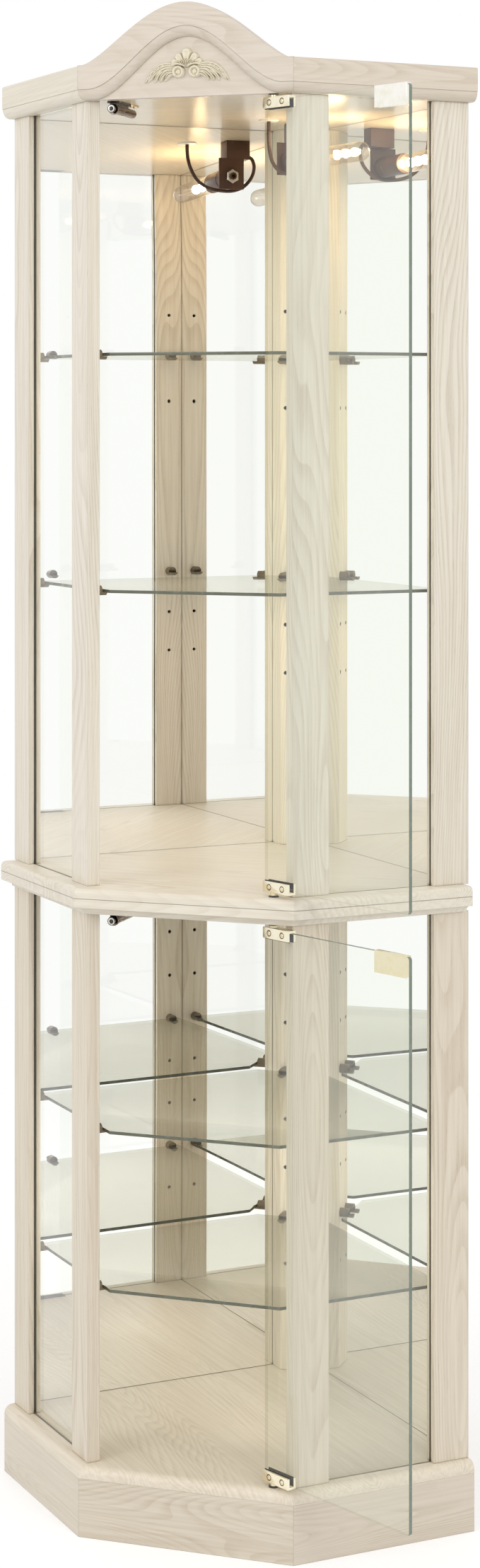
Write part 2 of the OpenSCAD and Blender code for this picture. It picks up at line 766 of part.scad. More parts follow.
module on_both_edges(floor_z, top_z) {
    door_place() {
        at_door_top(top_z) children();
        at_door_bottom(floor_z) children();
    }
}
module hinge_clamps(floor_z, top_z) {
    brass() door_place() {
        at_door_top(top_z) hinge_clamp(door_gap_top);
        at_door_bottom(floor_z) hinge_clamp(door_gap_bottom);
    }
}
module hinge_pads(floor_z, top_z) { color("dimgray") on_both_edges(floor_z, top_z) hinge_pad_pair(); }
module hinge_screws(floor_z, top_z) { brass() on_both_edges(floor_z, top_z) clamp_screw_pair(); }

module upper_door_glass() { door_glass(door_z0(upper_z), door_z1(crown_z)); }
module lower_door_glass() { door_glass(door_z0(lower_z), door_z1(lower_top_z)); }
module upper_hinge_clamps() { hinge_clamps(upper_z, crown_z); }
module lower_hinge_clamps() { hinge_clamps(lower_z, lower_top_z); }
module upper_hinge_pads() { hinge_pads(upper_z, crown_z); }
module lower_hinge_pads() { hinge_pads(lower_z, lower_top_z); }
module upper_hinge_screws() { hinge_screws(upper_z, crown_z); }
module lower_hinge_screws() { hinge_screws(lower_z, lower_top_z); }
module upper_strike_clip() { strike_clip(crown_z); }
module lower_strike_clip() { strike_clip(lower_top_z); }

// A bush for a hole in the underside of a board at z = 0
module pivot_bush() {
    difference() {
        union() {
            cylinder(r = bush_r, h = bush_depth);
            translate([0, 0, -bush_flange_t]) cylinder(r = bush_flange_r, h = bush_flange_t);
        }
        translate([0, 0, -bush_flange_t - 1])
            cylinder(r = pin_r + pin_clearance, h = bush_depth + bush_flange_t + 2);
    }
}
module pivot_bushes() {
    color("dimgray") translate([pivot_x, pivot_y, 0]) {
        for (z = [lower_top_z, crown_z]) translate([0, 0, z]) pivot_bush();
        for (z = [lower_z, upper_z]) translate([0, 0, z]) mirror([0, 0, 1]) pivot_bush();
    }
}

// ---- Touch latches ----

// Moves to a latch's axis below a board's underside, with Z pointing into the cabinet
module latch_place(top_z, y) {
    translate([-latch_x, y, top_z - latch_drop]) rotate([-90, 0, 0]) children();
}

module latch(top_z) {
    web = [[0, 0], [latch_drop, 0], [latch_drop, latch_len * latch_web_low], [0, latch_len * latch_web_high]];
    brown_plastic() difference() {
        union() {
            latch_place(top_z, latch_y) cylinder(r = latch_r, h = latch_len);
            latch_place(top_z, latch_y) cylinder(r = latch_r + latch_collar_w, h = latch_collar_len);
            translate([-latch_x - latch_plate_w / 2, latch_y, top_z - latch_plate_t])
                cube([latch_plate_w, latch_len, latch_plate_t]);
            translate([latch_web_t / 2 - latch_x, latch_y, top_z - latch_drop]) rotate([0, -90, 0])
                linear_extrude(height = latch_web_t) polygon(web);
        }
        latch_place(top_z, latch_y - 1)
            cylinder(r = plunger_rod_r + latch_clearance, h = plunger_rod_len + 2);
    }
}
module upper_latch() { latch(crown_z); }
module lower_latch() { latch(lower_top_z); }

module plunger(top_z) {
    color("dimgray") latch_place(top_z, plunger_tip_y) union() {
        cylinder(r = plunger_head_r, h = plunger_head_t);
        cylinder(r = plunger_rod_r, h = plunger_head_t + plunger_rod_len);
    }
}
module upper_plunger() { plunger(crown_z); }
module lower_plunger() { plunger(lower_top_z); }

// ---- Lamp ----

// Moves to the back of the lamp's bracket, with X along the bulb and Z up
module lamp_place() {
    p = side_pt(1, side_len - mirror_set - lamp_off_mirror, wall_len - mirror_set - lamp_off_corner);
    translate([p[0], p[1], crown_z - lamp_drop]) rotate([0, 0, lamp_skew - 45]) children();
}
module grommet_place() { translate([CORD_ROUTE[0][0], CORD_ROUTE[0][1], lamp_drop]) children(); }

module lamp_bracket() {
    brown_plastic() lamp_place() difference() {
        union() {
            translate([0, lamp_box_side - lamp_box_w, lamp_drop - lamp_box_h])
                cube([lamp_box_d, lamp_box_w, lamp_box_h]);
            translate([0, -lamp_plate_w / 2, -lamp_plate_drop])
                cube([lamp_plate_t, lamp_plate_w, lamp_plate_drop + lamp_drop - lamp_box_h + lamp_plate_lap]);
        }
        translate([-1, 0, 0]) rotate([0, 90, 0]) cylinder(r = nipple_r + play / 2, h = lamp_plate_t + 2);
    }
}

module lamp_nut() {
    color("silver") lamp_place() translate([-lamp_nut_t, 0, 0]) rotate([0, 90, 0]) difference() {
        cylinder(r = lamp_nut_r, h = lamp_nut_t, $fn = 6);
        translate([0, 0, -1]) cylinder(r = nipple_r + play / 2, h = lamp_nut_t + 2);
    }
}

module lamp_socket() {
    x0 = lamp_plate_t;
    x1 = lamp_plate_t + socket_len;
    mouth = bulb_base_r + play;
    back = -lamp_nut_t - nipple_proud;
    seat = x1 - bulb_base_len - play;
    outline = [[nipple_bore_r, back], [nipple_r, back], [nipple_r, x0], [socket_r - socket_ease, x0],
        [socket_r, x0 + socket_ease], [socket_r, x1 - socket_rim_h], [socket_r - socket_rim_w, x1],
        [mouth, x1], [mouth, seat], [nipple_bore_r, seat]];
    brown_plastic() lamp_place() rotate([0, 90, 0]) rotate_extrude() polygon(outline);
}

module lamp_bulb() {
    x1 = lamp_plate_t + socket_len;
    tip = x1 + bulb_len;
    outline = concat([[0, x1 - bulb_base_len], [bulb_base_r, x1 - bulb_base_len], [bulb_base_r, x1]],
        [[bulb_r, x1 + bulb_neck]], arc(0, tip - bulb_r, bulb_r, 0, 90, 10));
    color("lightyellow", 0.7) lamp_place() rotate([0, 90, 0]) rotate_extrude() polygon(outline);
}

// Smooth curve through the route: share t of the way from point i to the next
function route_point(route, i) = i < 0 ? 2 * route[0] - route[1]
    : i >= len(route) ? 2 * route[len(route) - 1] - route[len(route) - 2] : route[i];
function spline(route, i, t) =
    let (a = route_point(route, i - 1), b = route_point(route, i),
         c = route_point(route, i + 1), d = route_point(route, i + 2))
    0.5 * (2 * b + (c - a) * t + (2 * a - 5 * b + 4 * c - d) * t * t + (3 * b - a - 3 * c + d) * t * t * t);
function unit(v) = v / norm(v);

module lamp_cord() {
    last = len(CORD_ROUTE) - 1;
    path = concat([for (i = [0:last - 1]) for (j = [0:cord_steps - 1]) spline(CORD_ROUTE, i, j / cord_steps)],
        [CORD_ROUTE[last]]);
    n = len(path);
    rings = [for (i = [0:n - 1])
        let (along = unit(path[min(i + 1, n - 1)] - path[max(i - 1, 0)]),
             across = unit(cross(along, [1, 0, 0])), other = cross(along, across))
        [for (j = [0:cord_sides - 1])
            path[i] + cord_r * (cos(360 * j / cord_sides) * across + sin(360 * j / cord_sides) * other)]];
    color("sienna") lamp_place() loft(rings);
}

module cord_grommet() {
    color("white") lamp_place() grommet_place() difference() {
        union() {
            translate([0, 0, -grommet_t]) cylinder(r = grommet_r, h = grommet_t);
            cylinder(r = grommet_neck_r, h = ceiling_t);
        }
        translate([0, 0, -grommet_t - 1]) cylinder(r = cord_r + play, h = ceiling_t + grommet_t + 2);
    }
}

plinth_front();
plinth_left();
plinth_right();
plinth_back_rails();
base_board();
lower_top_board();
upper_base_board();
lower_post_back_left();
lower_post_front_left();
lower_post_front_right();
lower_post_back_right();
lower_back_post();
upper_post_back_left();
upper_post_front_left();
upper_post_front_right();
upper_post_back_right();
upper_back_post();
lower_glass_left();
lower_glass_right();
upper_glass_left();
upper_glass_right();
lower_mirror_left();
lower_mirror_right();
upper_mirror_left();
upper_mirror_right();
lower_back_panels();
upper_back_panels();
ceiling_board();
crown_front();
crown_left();
crown_right();
arch_moulding();
ornament();
lower_shelf_bottom();
lower_shelf_top();
upper_shelf_bottom();
upper_shelf_top();
lower_shelf_pins();
upper_shelf_pins();
upper_door_glass();
upper_hinge_clamps();
upper_hinge_pads();
upper_hinge_screws();
upper_strike_clip();
lower_door_glass();
lower_hinge_clamps();
lower_hinge_pads();
lower_hinge_screws();
lower_strike_clip();
pivot_bushes();
upper_latch();
upper_plunger();
lower_latch();
lower_plunger();
lamp_bracket();
lamp_nut();
lamp_socket();
lamp_bulb();
lamp_cord();
cord_grommet();
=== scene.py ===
import math

import bmesh
import bpy
import numpy as np
from mathutils import Matrix, Vector


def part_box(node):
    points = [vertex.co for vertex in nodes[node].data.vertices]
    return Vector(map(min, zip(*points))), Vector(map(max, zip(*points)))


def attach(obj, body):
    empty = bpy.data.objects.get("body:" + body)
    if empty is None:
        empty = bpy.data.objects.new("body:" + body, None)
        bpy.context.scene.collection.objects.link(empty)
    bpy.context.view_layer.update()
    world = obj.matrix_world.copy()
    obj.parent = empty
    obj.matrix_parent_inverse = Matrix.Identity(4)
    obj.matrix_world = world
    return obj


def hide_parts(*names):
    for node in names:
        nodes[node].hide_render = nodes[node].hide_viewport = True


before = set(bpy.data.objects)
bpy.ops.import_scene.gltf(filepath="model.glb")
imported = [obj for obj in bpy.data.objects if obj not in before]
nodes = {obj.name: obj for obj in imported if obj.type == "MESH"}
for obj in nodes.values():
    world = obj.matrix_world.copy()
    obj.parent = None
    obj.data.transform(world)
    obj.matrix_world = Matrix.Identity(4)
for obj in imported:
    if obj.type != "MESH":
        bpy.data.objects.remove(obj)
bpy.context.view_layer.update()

scene = bpy.context.scene
MM = 0.001
S45 = math.sqrt(0.5)

# ---- Sizes repeated from the part, in metres ----

FRONT_HALF, SIDE_LEN = 0.1295, 0.238
POST_T, BACK_POST_W = 0.016, 0.058
FRONT_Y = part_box("upper_post_front_left")[0].y
LOWER_Z, LOWER_TOP_Z, WAIST_Z, UPPER_Z, CROWN_Z = 0.084, 0.744, 0.764, 0.776, 1.718
CROWN_OUT, CROWN_ROUND, QUIRK = 0.0155, 0.012, 0.0008
TYMPANUM_HALF, TYMPANUM_H, TYMPANUM_DEPTH, BAND_MARGIN = 0.118, 0.071, 0.0105, 0.004
BELL_FULLNESS = 0.89
ORNAMENT_W, ORNAMENT_H, ORNAMENT_T, ORNAMENT_RISE = 0.107, 0.042, 0.008, 0.017
PIVOT_X, PIVOT_Y, OPEN_ANGLE = 0.106, FRONT_Y + 0.001, 150
DOOR_T, DOOR_REACH, HINGE_BACK, DOOR_CORNER = 0.005, 0.230, 0.013, 0.004
DOOR_GAP_TOP, DOOR_GAP_BOTTOM = 0.007, 0.008
CLAMP_LEN, CLAMP_H, CLAMP_PLATE, CLAMP_BRIDGE, PAD_T = 0.045, 0.013, 0.0025, 0.003, 0.001
CLAMP_HALF = DOOR_T / 2 + PAD_T + CLAMP_PLATE
PIN_R, SCREW_R, SCREW_PROUD = 0.003, 0.0028, 0.0008
BUSH_DEPTH, BUSH_FLANGE = 0.008, 0.0012
STRIKE_LEN, STRIKE_H, STRIKE_T, STRIKE_IN = 0.052, 0.025, 0.0012, 0.003
LATCH_X, LATCH_LEN, LATCH_R, LATCH_DROP = 0.101, 0.064, 0.0055, 0.0095
LATCH_PLATE_W, LATCH_PLATE_T, LATCH_TRAVEL, LATCH_CLEAR = 0.016, 0.002, 0.0045, 0.0004
PLUNGER_R, PLUNGER_ROD, PLUNGER_HEAD_R, PLUNGER_HEAD = 0.003, 0.030, 0.005, 0.003
PLUNGER_TIP_Y = PIVOT_Y + DOOR_T / 2 + STRIKE_T + LATCH_CLEAR
LATCH_Y = PLUNGER_TIP_Y + PLUNGER_HEAD + LATCH_TRAVEL + LATCH_CLEAR
LAMP_DROP, LAMP_OFF_MIRROR, LAMP_OFF_CORNER, LAMP_SKEW = 0.049, 0.069, 0.085, 3
LAMP_BOX_W, LAMP_BOX_H, LAMP_BOX_D, LAMP_BOX_SIDE = 0.034, 0.025, 0.022, 0.027
LAMP_PLATE_T, LAMP_PLATE_W, LAMP_PLATE_DROP = 0.0025, 0.036, 0.017
NUT_T, NIPPLE_R = 0.005, 0.005
SOCKET_R, SOCKET_LEN = 0.0135, 0.066
BULB_BASE_R, BULB_BASE_LEN, BULB_R, BULB_LEN = 0.009, 0.022, 0.0125, 0.122
CORD_R, GROMMET_R, GROMMET_NECK, GROMMET_T, GROMMET_LEN = 0.0024, 0.013, 0.0055, 0.002, 0.0115
MIRROR_SET = 0.008
WALL_LEN = FRONT_HALF / S45 + SIDE_LEN
MIRROR_END = WALL_LEN - BACK_POST_W
# The cord's route from the grommet to the lamp's box, in millimetres from the lamp's centre
CORD_ROUTE = [
    (36, -50, 61), (36, -50, 50), (36, -50, 38), (34, -49, 24), (30, -45, 9),
    (25, -38, -4), (20, -26, -13), (16, -10, -17), (14, 8, -17), (12, 23, -11),
    (12, 34, 1), (12, 38, 14), (12, 36, 24), (12, 32, 28), (12, 27, 28),
]

# The mirrors' bow and wave: the heights between which each grows, and its tilt as a slope
BOW_FROM, BOW_TO, BOW_TILT_LEFT, BOW_TILT_RIGHT = 1.50, 1.64, 0.033, 0.012
WAVE_FROM, WAVE_TO, WAVE_TILT = 1.03, 1.53, 0.017
LOW_BOW_FROM, LOW_BOW_TO, LOW_TILT_LEFT, LOW_TILT_RIGHT = 0.20, 0.66, 0.016, 0.006


def side_pt(a, d):
    """A plan point on the right side: a along it from the front, d inwards."""
    return FRONT_HALF + S45 * (a - d), FRONT_Y + S45 * (a + d)


# ---- Material nodes ----


def node(tree, kind, attrs=None, **values):
    """A shader node. Each value goes to the input of that name or _number, as a link or a number."""
    n = tree.nodes.new("ShaderNode" + kind)
    for key, value in (attrs or {}).items():
        setattr(n, key, value)
    for key, value in values.items():
        socket = n.inputs[int(key[1:])] if key[0] == "_" else n.inputs[key.replace("_", " ")]
        if isinstance(value, bpy.types.NodeSocket):
            tree.links.new(value, socket)
        else:
            socket.default_value = value
    return n


def calc(tree, operation, a, b=0.0):
    return node(tree, "Math", {"operation": operation}, _0=a, _1=b).outputs[0]


def plus(tree, a, b):
    return calc(tree, "ADD", a, b)


def times(tree, a, b):
    return calc(tree, "MULTIPLY", a, b)


def apart(tree, a, b):
    """How far apart two numbers are."""
    return calc(tree, "ABSOLUTE", calc(tree, "SUBTRACT", a, b))


def vector(tree, operation, a, b=(0, 0, 0)):
    """A vector, or the number that DOT_PRODUCT, DISTANCE or LENGTH gives."""
    n = node(tree, "VectorMath", {"operation": operation}, _0=a, _1=b)
    return n.outputs["Value" if operation in ("DOT_PRODUCT", "DISTANCE", "LENGTH") else "Vector"]


def ramp(tree, value, low, high, out_low=0.0, out_high=1.0):
    """value taken smoothly from low..high to out_low..out_high and held there."""
    return node(tree, "MapRange", {"interpolation_type": "SMOOTHSTEP"}, Value=value, From_Min=low,
                From_Max=high, To_Min=out_low, To_Max=out_high).outputs[0]


def noise(tree, where, scale, detail=2.0, rough=0.5):
    return node(tree, "TexNoise", Vector=where, Scale=scale, Detail=detail, Roughness=rough).outputs[0]


def stretched(tree, point, across, along, detail=2.0, rough=0.5):
    """Noise at a scale across the grain and another along it."""
    where = vector(tree, "MULTIPLY", point, (across, across, along))
    return noise(tree, where, 1.0, detail, rough)


def openness(tree, distance, samples=4):
    """1 on open surfaces, and less where another one is within distance."""
    return node(tree, "AmbientOcclusion", {"samples": samples}, Distance=distance).outputs["AO"]


def blend_colours(tree, factor, a, b):
    return node(tree, "Mix", {"data_type": "RGBA"}, _0=factor, _6=a, _7=b).outputs[2]


def mix_shaders(tree, factor, a, b):
    return node(tree, "MixShader", _0=factor, _1=a, _2=b).outputs[0]


def rgba(r, g, b):
    return (r, g, b, 1.0)


WHITE = rgba(1, 1, 1)


def object_point(tree):
    return node(tree, "TexCoord").outputs["Object"]


def object_height(tree):
    return node(tree, "SeparateXYZ", Vector=object_point(tree)).outputs["Z"]


def seen_directly(tree):
    """1 for what the camera sees, itself or in a mirror or through glass, and 0 for lighting."""
    path = node(tree, "LightPath").outputs
    seen = calc(tree, "MAXIMUM", path["Is Camera Ray"], path["Is Glossy Ray"])
    return calc(tree, "MAXIMUM", seen, path["Is Transmission Ray"])


def edge_normal(tree, radius, height, distance, strength):
    """A rounded-edge normal with a height bump on it."""
    normal = node(tree, "Bevel", {"samples": 4}, Radius=radius).outputs[0]
    return node(tree, "Bump", Height=height, Distance=distance, Strength=strength,
                Normal=normal).outputs[0]


def grain_point(tree, grain, offset):
    """Object coordinates turned so that the wood's grain runs along Z."""
    point = vector(tree, "ADD", object_point(tree), offset)
    g = Vector(grain).normalized()
    across = Vector((0, 0, 1)) if abs(g.z) < 0.5 else Vector((1, 0, 0))
    third = g.cross(across).normalized()
    x, y, z = [vector(tree, "DOT_PRODUCT", point, axis) for axis in (third, across, g)]
    return node(tree, "CombineXYZ", X=x, Y=y, Z=z).outputs[0]


# ---- Materials ----


def new_material(name):
    material = bpy.data.materials.new(name)
    material.use_nodes = True
    material.node_tree.nodes.clear()
    return material, material.node_tree


def finished(material, shader):
    """The material, with this shader as its surface."""
    node(material.node_tree, "OutputMaterial", Surface=shader)
    return material


def principled(material, colour, **values):
    """The material, finished with a principled shader."""
    shader = node(material.node_tree, "BsdfPrincipled", Base_Color=colour, **values)
    return finished(material, shader.outputs[0])


OAK_PALE = rgba(0.815, 0.765, 0.670)
OAK_DEEP = rgba(0.560, 0.480, 0.375)
JOINT_DARK_AND_SHADE = rgba(0.16, 0.115, 0.07)
HOLE_SHADE = rgba(0.06, 0.042, 0.025)


def toned(colour, cast):
    return rgba(*(c * t for c, t in zip(colour, cast)))


def oak(name, grain, offset=(0, 0, 0), rings=0.30, pores=0.29, gloss=0.36, cast=(1, 1, 1), bump=0.5,
        seam=None, figure=60.0, vary=0.10, waver=7.0, streaks=0.24, bored=False, raw_above=None):
    """Whitewashed oak under a satin lacquer, with painted shade darkening its corners and joints.

    rings, pores and streaks say how dark each is, figure how many rings there are and waver how far
    they sway; vary is the spread of the roughness gloss. seam is the height of a joint that needs a
    dark line, bored paints shade into drilled holes, and above raw_above the wood has no lacquer.
    cast lightens, darkens or warms this copy of the oak for how its faces are lit: painted light and shade.
    """
    material, tree = new_material(name)
    point = grain_point(tree, grain, offset)
    sway = stretched(tree, point, 7.0, 2.6)
    field = stretched(tree, point, 8.0, 0.75, 1.0, 0.4)
    contour = plus(tree, times(tree, field, figure), times(tree, sway, waver))
    wave = calc(tree, "FRACT", contour)
    ring = times(tree, ramp(tree, wave, 0.30, 0.95), ramp(tree, wave, 1.0, 0.95))
    patchy = ramp(tree, stretched(tree, point, 16.0, 3.0), 0.35, 0.62, 0.25, 1.0)
    ring = times(tree, ring, patchy)
    fine = stretched(tree, point, 950.0, 42.0, 2.0, 0.6)
    pore = times(tree, ramp(tree, fine, 0.57, 0.72), ramp(tree, ring, 0.0, 0.8, 0.35, 1.0))
    streak = stretched(tree, point, 230.0, 6.0, 3.0, 0.55)
    tone = stretched(tree, point, 3.5, 0.8, 1.0)
    depth = plus(tree, times(tree, ring, rings), times(tree, pore, pores))
    depth = plus(tree, depth, ramp(tree, streak, 0.3, 0.75, 0.0, streaks))
    depth = plus(tree, depth, ramp(tree, tone, 0.3, 0.7, -0.05, 0.05))
    # cast: painted light and shade on this copy of the oak
    colour = blend_colours(tree, depth, toned(OAK_PALE, cast), toned(OAK_DEEP, cast))
    # Painted shade: darker where another surface is within 1.3 mm, in corners and joints
    dust = ramp(tree, openness(tree, 1.3 * MM), 0.78, 0.40, 0.0, 0.70)
    if seam:
        off_seam = apart(tree, object_height(tree), seam)
        dust = calc(tree, "MAXIMUM", dust, ramp(tree, off_seam, 0.7 * MM, 0.3 * MM, 0.0, 0.55))
    colour = blend_colours(tree, dust, colour, JOINT_DARK_AND_SHADE)
    # Painted shade: drilled holes darkened where the bore closes in round them
    if bored:
        deep = ramp(tree, openness(tree, 7 * MM), 0.42, 0.22, 0.0, 0.9)
        colour = blend_colours(tree, deep, colour, HOLE_SHADE)
    relief = plus(tree, times(tree, pore, -1.0), times(tree, ring, -0.35))
    normal = edge_normal(tree, 0.9 * MM, relief, 0.12 * MM, bump)
    rough = ramp(tree, fine, 0.3, 0.75, gloss, gloss + vary)
    if raw_above:
        raw = ramp(tree, object_height(tree), raw_above, raw_above + MM, 0.0, 0.85)
        rough = calc(tree, "MAXIMUM", rough, raw)
    return principled(material, colour, Roughness=rough, IOR=1.46, Normal=normal)


def board(name):
    """Hardboard of the back panels: pressed fibres, brown and dull."""
    material, tree = new_material(name)
    point = object_point(tree)
    fibre = stretched(tree, point, 420.0, 420.0, 4.0, 0.7)
    cloud = noise(tree, point, 14.0, 3.0)
    depth = plus(tree, ramp(tree, fibre, 0.35, 0.7, 0.0, 0.6), ramp(tree, cloud, 0.3, 0.7, 0.0, 0.3))
    colour = blend_colours(tree, depth, rgba(0.62, 0.50, 0.36), rgba(0.36, 0.26, 0.17))
    normal = edge_normal(tree, 0.5 * MM, fibre, 0.2 * MM, 0.5)
    return principled(material, colour, Roughness=0.72, Normal=normal)


def thin_glass(name, tint, glow=None, share=1.0, haze=0.0, slant_tint=None):
    """A clear surface, tinted, more mirroring at a slant.

    share scales the mirroring, haze is its dust, slant_tint its tint at a slant and glow its light.
    """
    material, tree = new_material(name)
    facing = node(tree, "LayerWeight", Blend=0.5).outputs["Facing"]
    slant = calc(tree, "POWER", facing, 5.0)
    mirror = plus(tree, times(tree, slant, 0.94 * share), 0.04 * share)
    smear = noise(tree, object_point(tree), 9.0, 3.0)
    if slant_tint:
        tint = blend_colours(tree, calc(tree, "POWER", facing, 2.0), tint, slant_tint)
    shader = node(tree, "BsdfTransparent", Color=tint).outputs[0]
    if haze:
        film = node(tree, "BsdfDiffuse", Color=rgba(0.80, 0.775, 0.71)).outputs[0]
        dust = ramp(tree, smear, 0.3, 0.7, 0.85 * haze, 1.1 * haze)
        shader = mix_shaders(tree, dust, shader, film)
    gloss = node(tree, "BsdfGlossy", Color=WHITE, Roughness=ramp(tree, smear, 0.45, 0.8, 0.0, 0.02))
    shader = mix_shaders(tree, mirror, shader, gloss.outputs[0])
    if glow:
        lit = node(tree, "Emission", Color=rgba(1.0, 0.80, 0.50), Strength=glow(tree))
        shader = node(tree, "AddShader", _0=shader, _1=lit.outputs[0]).outputs[0]
    return finished(material, shader)


def glass_edge(name, dark, pale, pale_within=0.0):
    """The ground edge of a pane, dull but clear from within, and paler within pale_within of the pivot."""
    material, tree = new_material(name)
    point = object_point(tree)
    wander = noise(tree, point, 60.0, 3.0)
    colour = blend_colours(tree, wander, dark, pale)
    if pale_within:
        flat = vector(tree, "MULTIPLY", point, (1, 1, 0))
        reach = vector(tree, "DISTANCE", flat, (PIVOT_X, PIVOT_Y, 0))
        near = ramp(tree, reach, pale_within, pale_within - 4 * MM)
        colour = blend_colours(tree, near, colour, rgba(0.66, 0.66, 0.56))
    ground = node(tree, "BsdfPrincipled", Base_Color=colour, IOR=1.5,
                  Roughness=ramp(tree, wander, 0.3, 0.7, 0.18, 0.32))
    through = node(tree, "BsdfTransparent", Color=rgba(0.90, 0.91, 0.88))
    inside = node(tree, "NewGeometry").outputs["Backfacing"]
    return finished(material, mix_shaders(tree, inside, ground.outputs[0], through.outputs[0]))


def silvering(name):
    """Mirror silver behind glass. Tall sheets bow, the left one in a wave, and painted shade darkens the
    seams.
    """
    material, tree = new_material(name)
    point = object_point(tree)
    haze = noise(tree, point, 6.0, 2.0)
    x, y, z = node(tree, "SeparateXYZ", Vector=point).outputs

    def bow(low, high, tilt_left, tilt_right):
        tilt = ramp(tree, x, -MM, MM, tilt_left, tilt_right)
        return times(tree, ramp(tree, z, low, high), tilt)

    lean = bow(BOW_FROM, BOW_TO, BOW_TILT_LEFT, BOW_TILT_RIGHT)
    phase = node(tree, "MapRange", {"clamp": True}, Value=z, From_Min=WAVE_FROM, From_Max=WAVE_TO,
                 To_Min=0.0, To_Max=2 * math.pi).outputs[0]
    wave = times(tree, calc(tree, "SINE", phase), ramp(tree, x, MM, -MM, 0.0, WAVE_TILT))
    lean = plus(tree, lean, wave)
    low_lean = bow(LOW_BOW_FROM, LOW_BOW_TO, LOW_TILT_LEFT, LOW_TILT_RIGHT)
    lean = plus(tree, lean, times(tree, low_lean, ramp(tree, z, UPPER_Z, WAIST_Z)))
    tilted = node(tree, "CombineXYZ", Z=lean).outputs[0]
    flat = node(tree, "NewGeometry").outputs["Normal"]
    normal = vector(tree, "NORMALIZE", vector(tree, "ADD", flat, tilted))
    forward = calc(tree, "SUBTRACT", y, FRONT_Y)
    outward = calc(tree, "SUBTRACT", calc(tree, "ABSOLUTE", x), FRONT_HALF)
    along = times(tree, calc(tree, "SUBTRACT", forward, outward), S45)
    # Painted shade: a dark line along each sheet's edges, stronger on the lower sheets
    gaps = [apart(tree, z, foot) for foot in (LOWER_Z, LOWER_TOP_Z, UPPER_Z, CROWN_Z)]
    gaps += [apart(tree, along, edge) for edge in (POST_T, MIRROR_END)]
    nearest = gaps[0]
    for gap in gaps[1:]:
        nearest = calc(tree, "MINIMUM", nearest, gap)
    seam_shade_strength = ramp(tree, z, WAIST_Z, UPPER_Z, 0.85, 0.5)
    seam = times(tree, ramp(tree, nearest, MM, 0.5 * MM), seam_shade_strength)
    colour = blend_colours(tree, seam, rgba(0.985, 0.985, 0.975), rgba(0.20, 0.17, 0.12))
    return principled(material, colour, Metallic=1.0, Normal=normal,
                      Roughness=ramp(tree, haze, 0.4, 0.9, 0.0, 0.012))


def metal(name, bright, dull, rough=(0.12, 0.26)):
    """Plated metal, with faint brushing and patches of dull plating."""
    material, tree = new_material(name)
    point = object_point(tree)
    patch = noise(tree, point, 90.0, 4.0, 0.6)
    brush = stretched(tree, point, 2600.0, 90.0)
    colour = blend_colours(tree, ramp(tree, patch, 0.35, 0.8), rgba(*bright), rgba(*dull))
    return principled(material, colour, Metallic=1.0, Roughness=ramp(tree, patch, 0.3, 0.8, *rough),
                      Normal=edge_normal(tree, 0.3 * MM, brush, 0.01 * MM, 0.3))


def plastic(name, colour_a, colour_b, rough=(0.28, 0.45), grit=1400.0, depth=0.02):
    """Moulded plastic or rubber, with a fine pebbled skin and faint mottling."""
    material, tree = new_material(name)
    point = object_point(tree)
    mottle = noise(tree, point, 55.0, 3.0)
    skin = noise(tree, point, grit, 2.0)
    colour = blend_colours(tree, mottle, rgba(*colour_a), rgba(*colour_b))
    return principled(material, colour, Roughness=ramp(tree, mottle, 0.3, 0.7, *rough),
                      Normal=edge_normal(tree, 0.4 * MM, skin, depth * MM, 0.4))


def carved(name):
    """The cast applique: painted cream, with painted shade that darkens and warms its hollows."""
    material, tree = new_material(name)
    # Painted shade in the hollows: darker and warmer where the carving closes in
    hollow = openness(tree, 2.5 * MM, 6)
    mottle = noise(tree, object_point(tree), 260.0, 3.0)
    deep = times(tree, calc(tree, "SUBTRACT", 1.0, hollow), 1.1)
    deep = plus(tree, deep, ramp(tree, mottle, 0.4, 0.8, 0.0, 0.15))
    colour = blend_colours(tree, deep, rgba(0.80, 0.745, 0.60), rgba(0.42, 0.34, 0.20))
    normal = node(tree, "Bump", Height=mottle, Distance=0.12 * MM, Strength=0.4).outputs[0]
    return principled(material, colour, Roughness=0.42, Normal=normal)


def glowing(name, strength):
    material, tree = new_material(name)
    light = node(tree, "Emission", Color=rgba(1.0, 0.76, 0.42), Strength=strength)
    return finished(material, light.outputs[0])


UP, ACROSS, LEFTWARD, RIGHTWARD = (0, 0, 1), (1, 0, 0), (-1, 1, 0), (1, 1, 0)
# Each cast lightens, darkens or warms a copy of the same oak for how its faces are lit: painted light and
# shade, with crown, plinth, sides and lower posts shaded, the back post lit and the ceiling warmed
oak_up = oak("oak_upright", UP, rings=0.38, pores=0.36, cast=(1.01, 1.01, 1.01), figure=70.0,
             streaks=0.32, bored=True)
oak_low = oak("oak_upright_low", UP, (0.1, 0.2, 0.0), rings=0.36, pores=0.34,
              cast=(0.975, 0.945, 0.905), figure=70.0, streaks=0.32, bored=True)
oak_back = oak("oak_back_upright", UP, cast=(1.07, 1.07, 1.03), figure=70.0, bored=True)
oak_floor = oak("oak_floor", LEFTWARD, (0.0, 0.3, 0.1), rings=0.26, cast=(1.02, 0.99, 0.95),
                figure=80.0, waver=4.0, streaks=0.30)
oak_waist = oak("oak_waist", ACROSS, (0.1, 0.1, 0.1), cast=(1.01, 1.01, 1.0), seam=WAIST_Z, figure=80.0)
oak_crown = oak("oak_crown", ACROSS, (0.0, 0.3, 0.1), cast=(0.86, 0.83, 0.82), figure=70.0)
oak_plinth = oak("oak_plinth", ACROSS, (0.4, 0.3, 0.1), cast=(0.91, 0.88, 0.84), figure=110.0,
                 waver=2.5, streaks=0.36)
oak_left = oak("oak_left_side", LEFTWARD, (0.2, 0.0, 0.4), cast=(0.93, 0.90, 0.87), figure=90.0)
oak_right = oak("oak_right_side", RIGHTWARD, (0.5, 0.1, 0.2), cast=(0.92, 0.88, 0.86), figure=90.0)
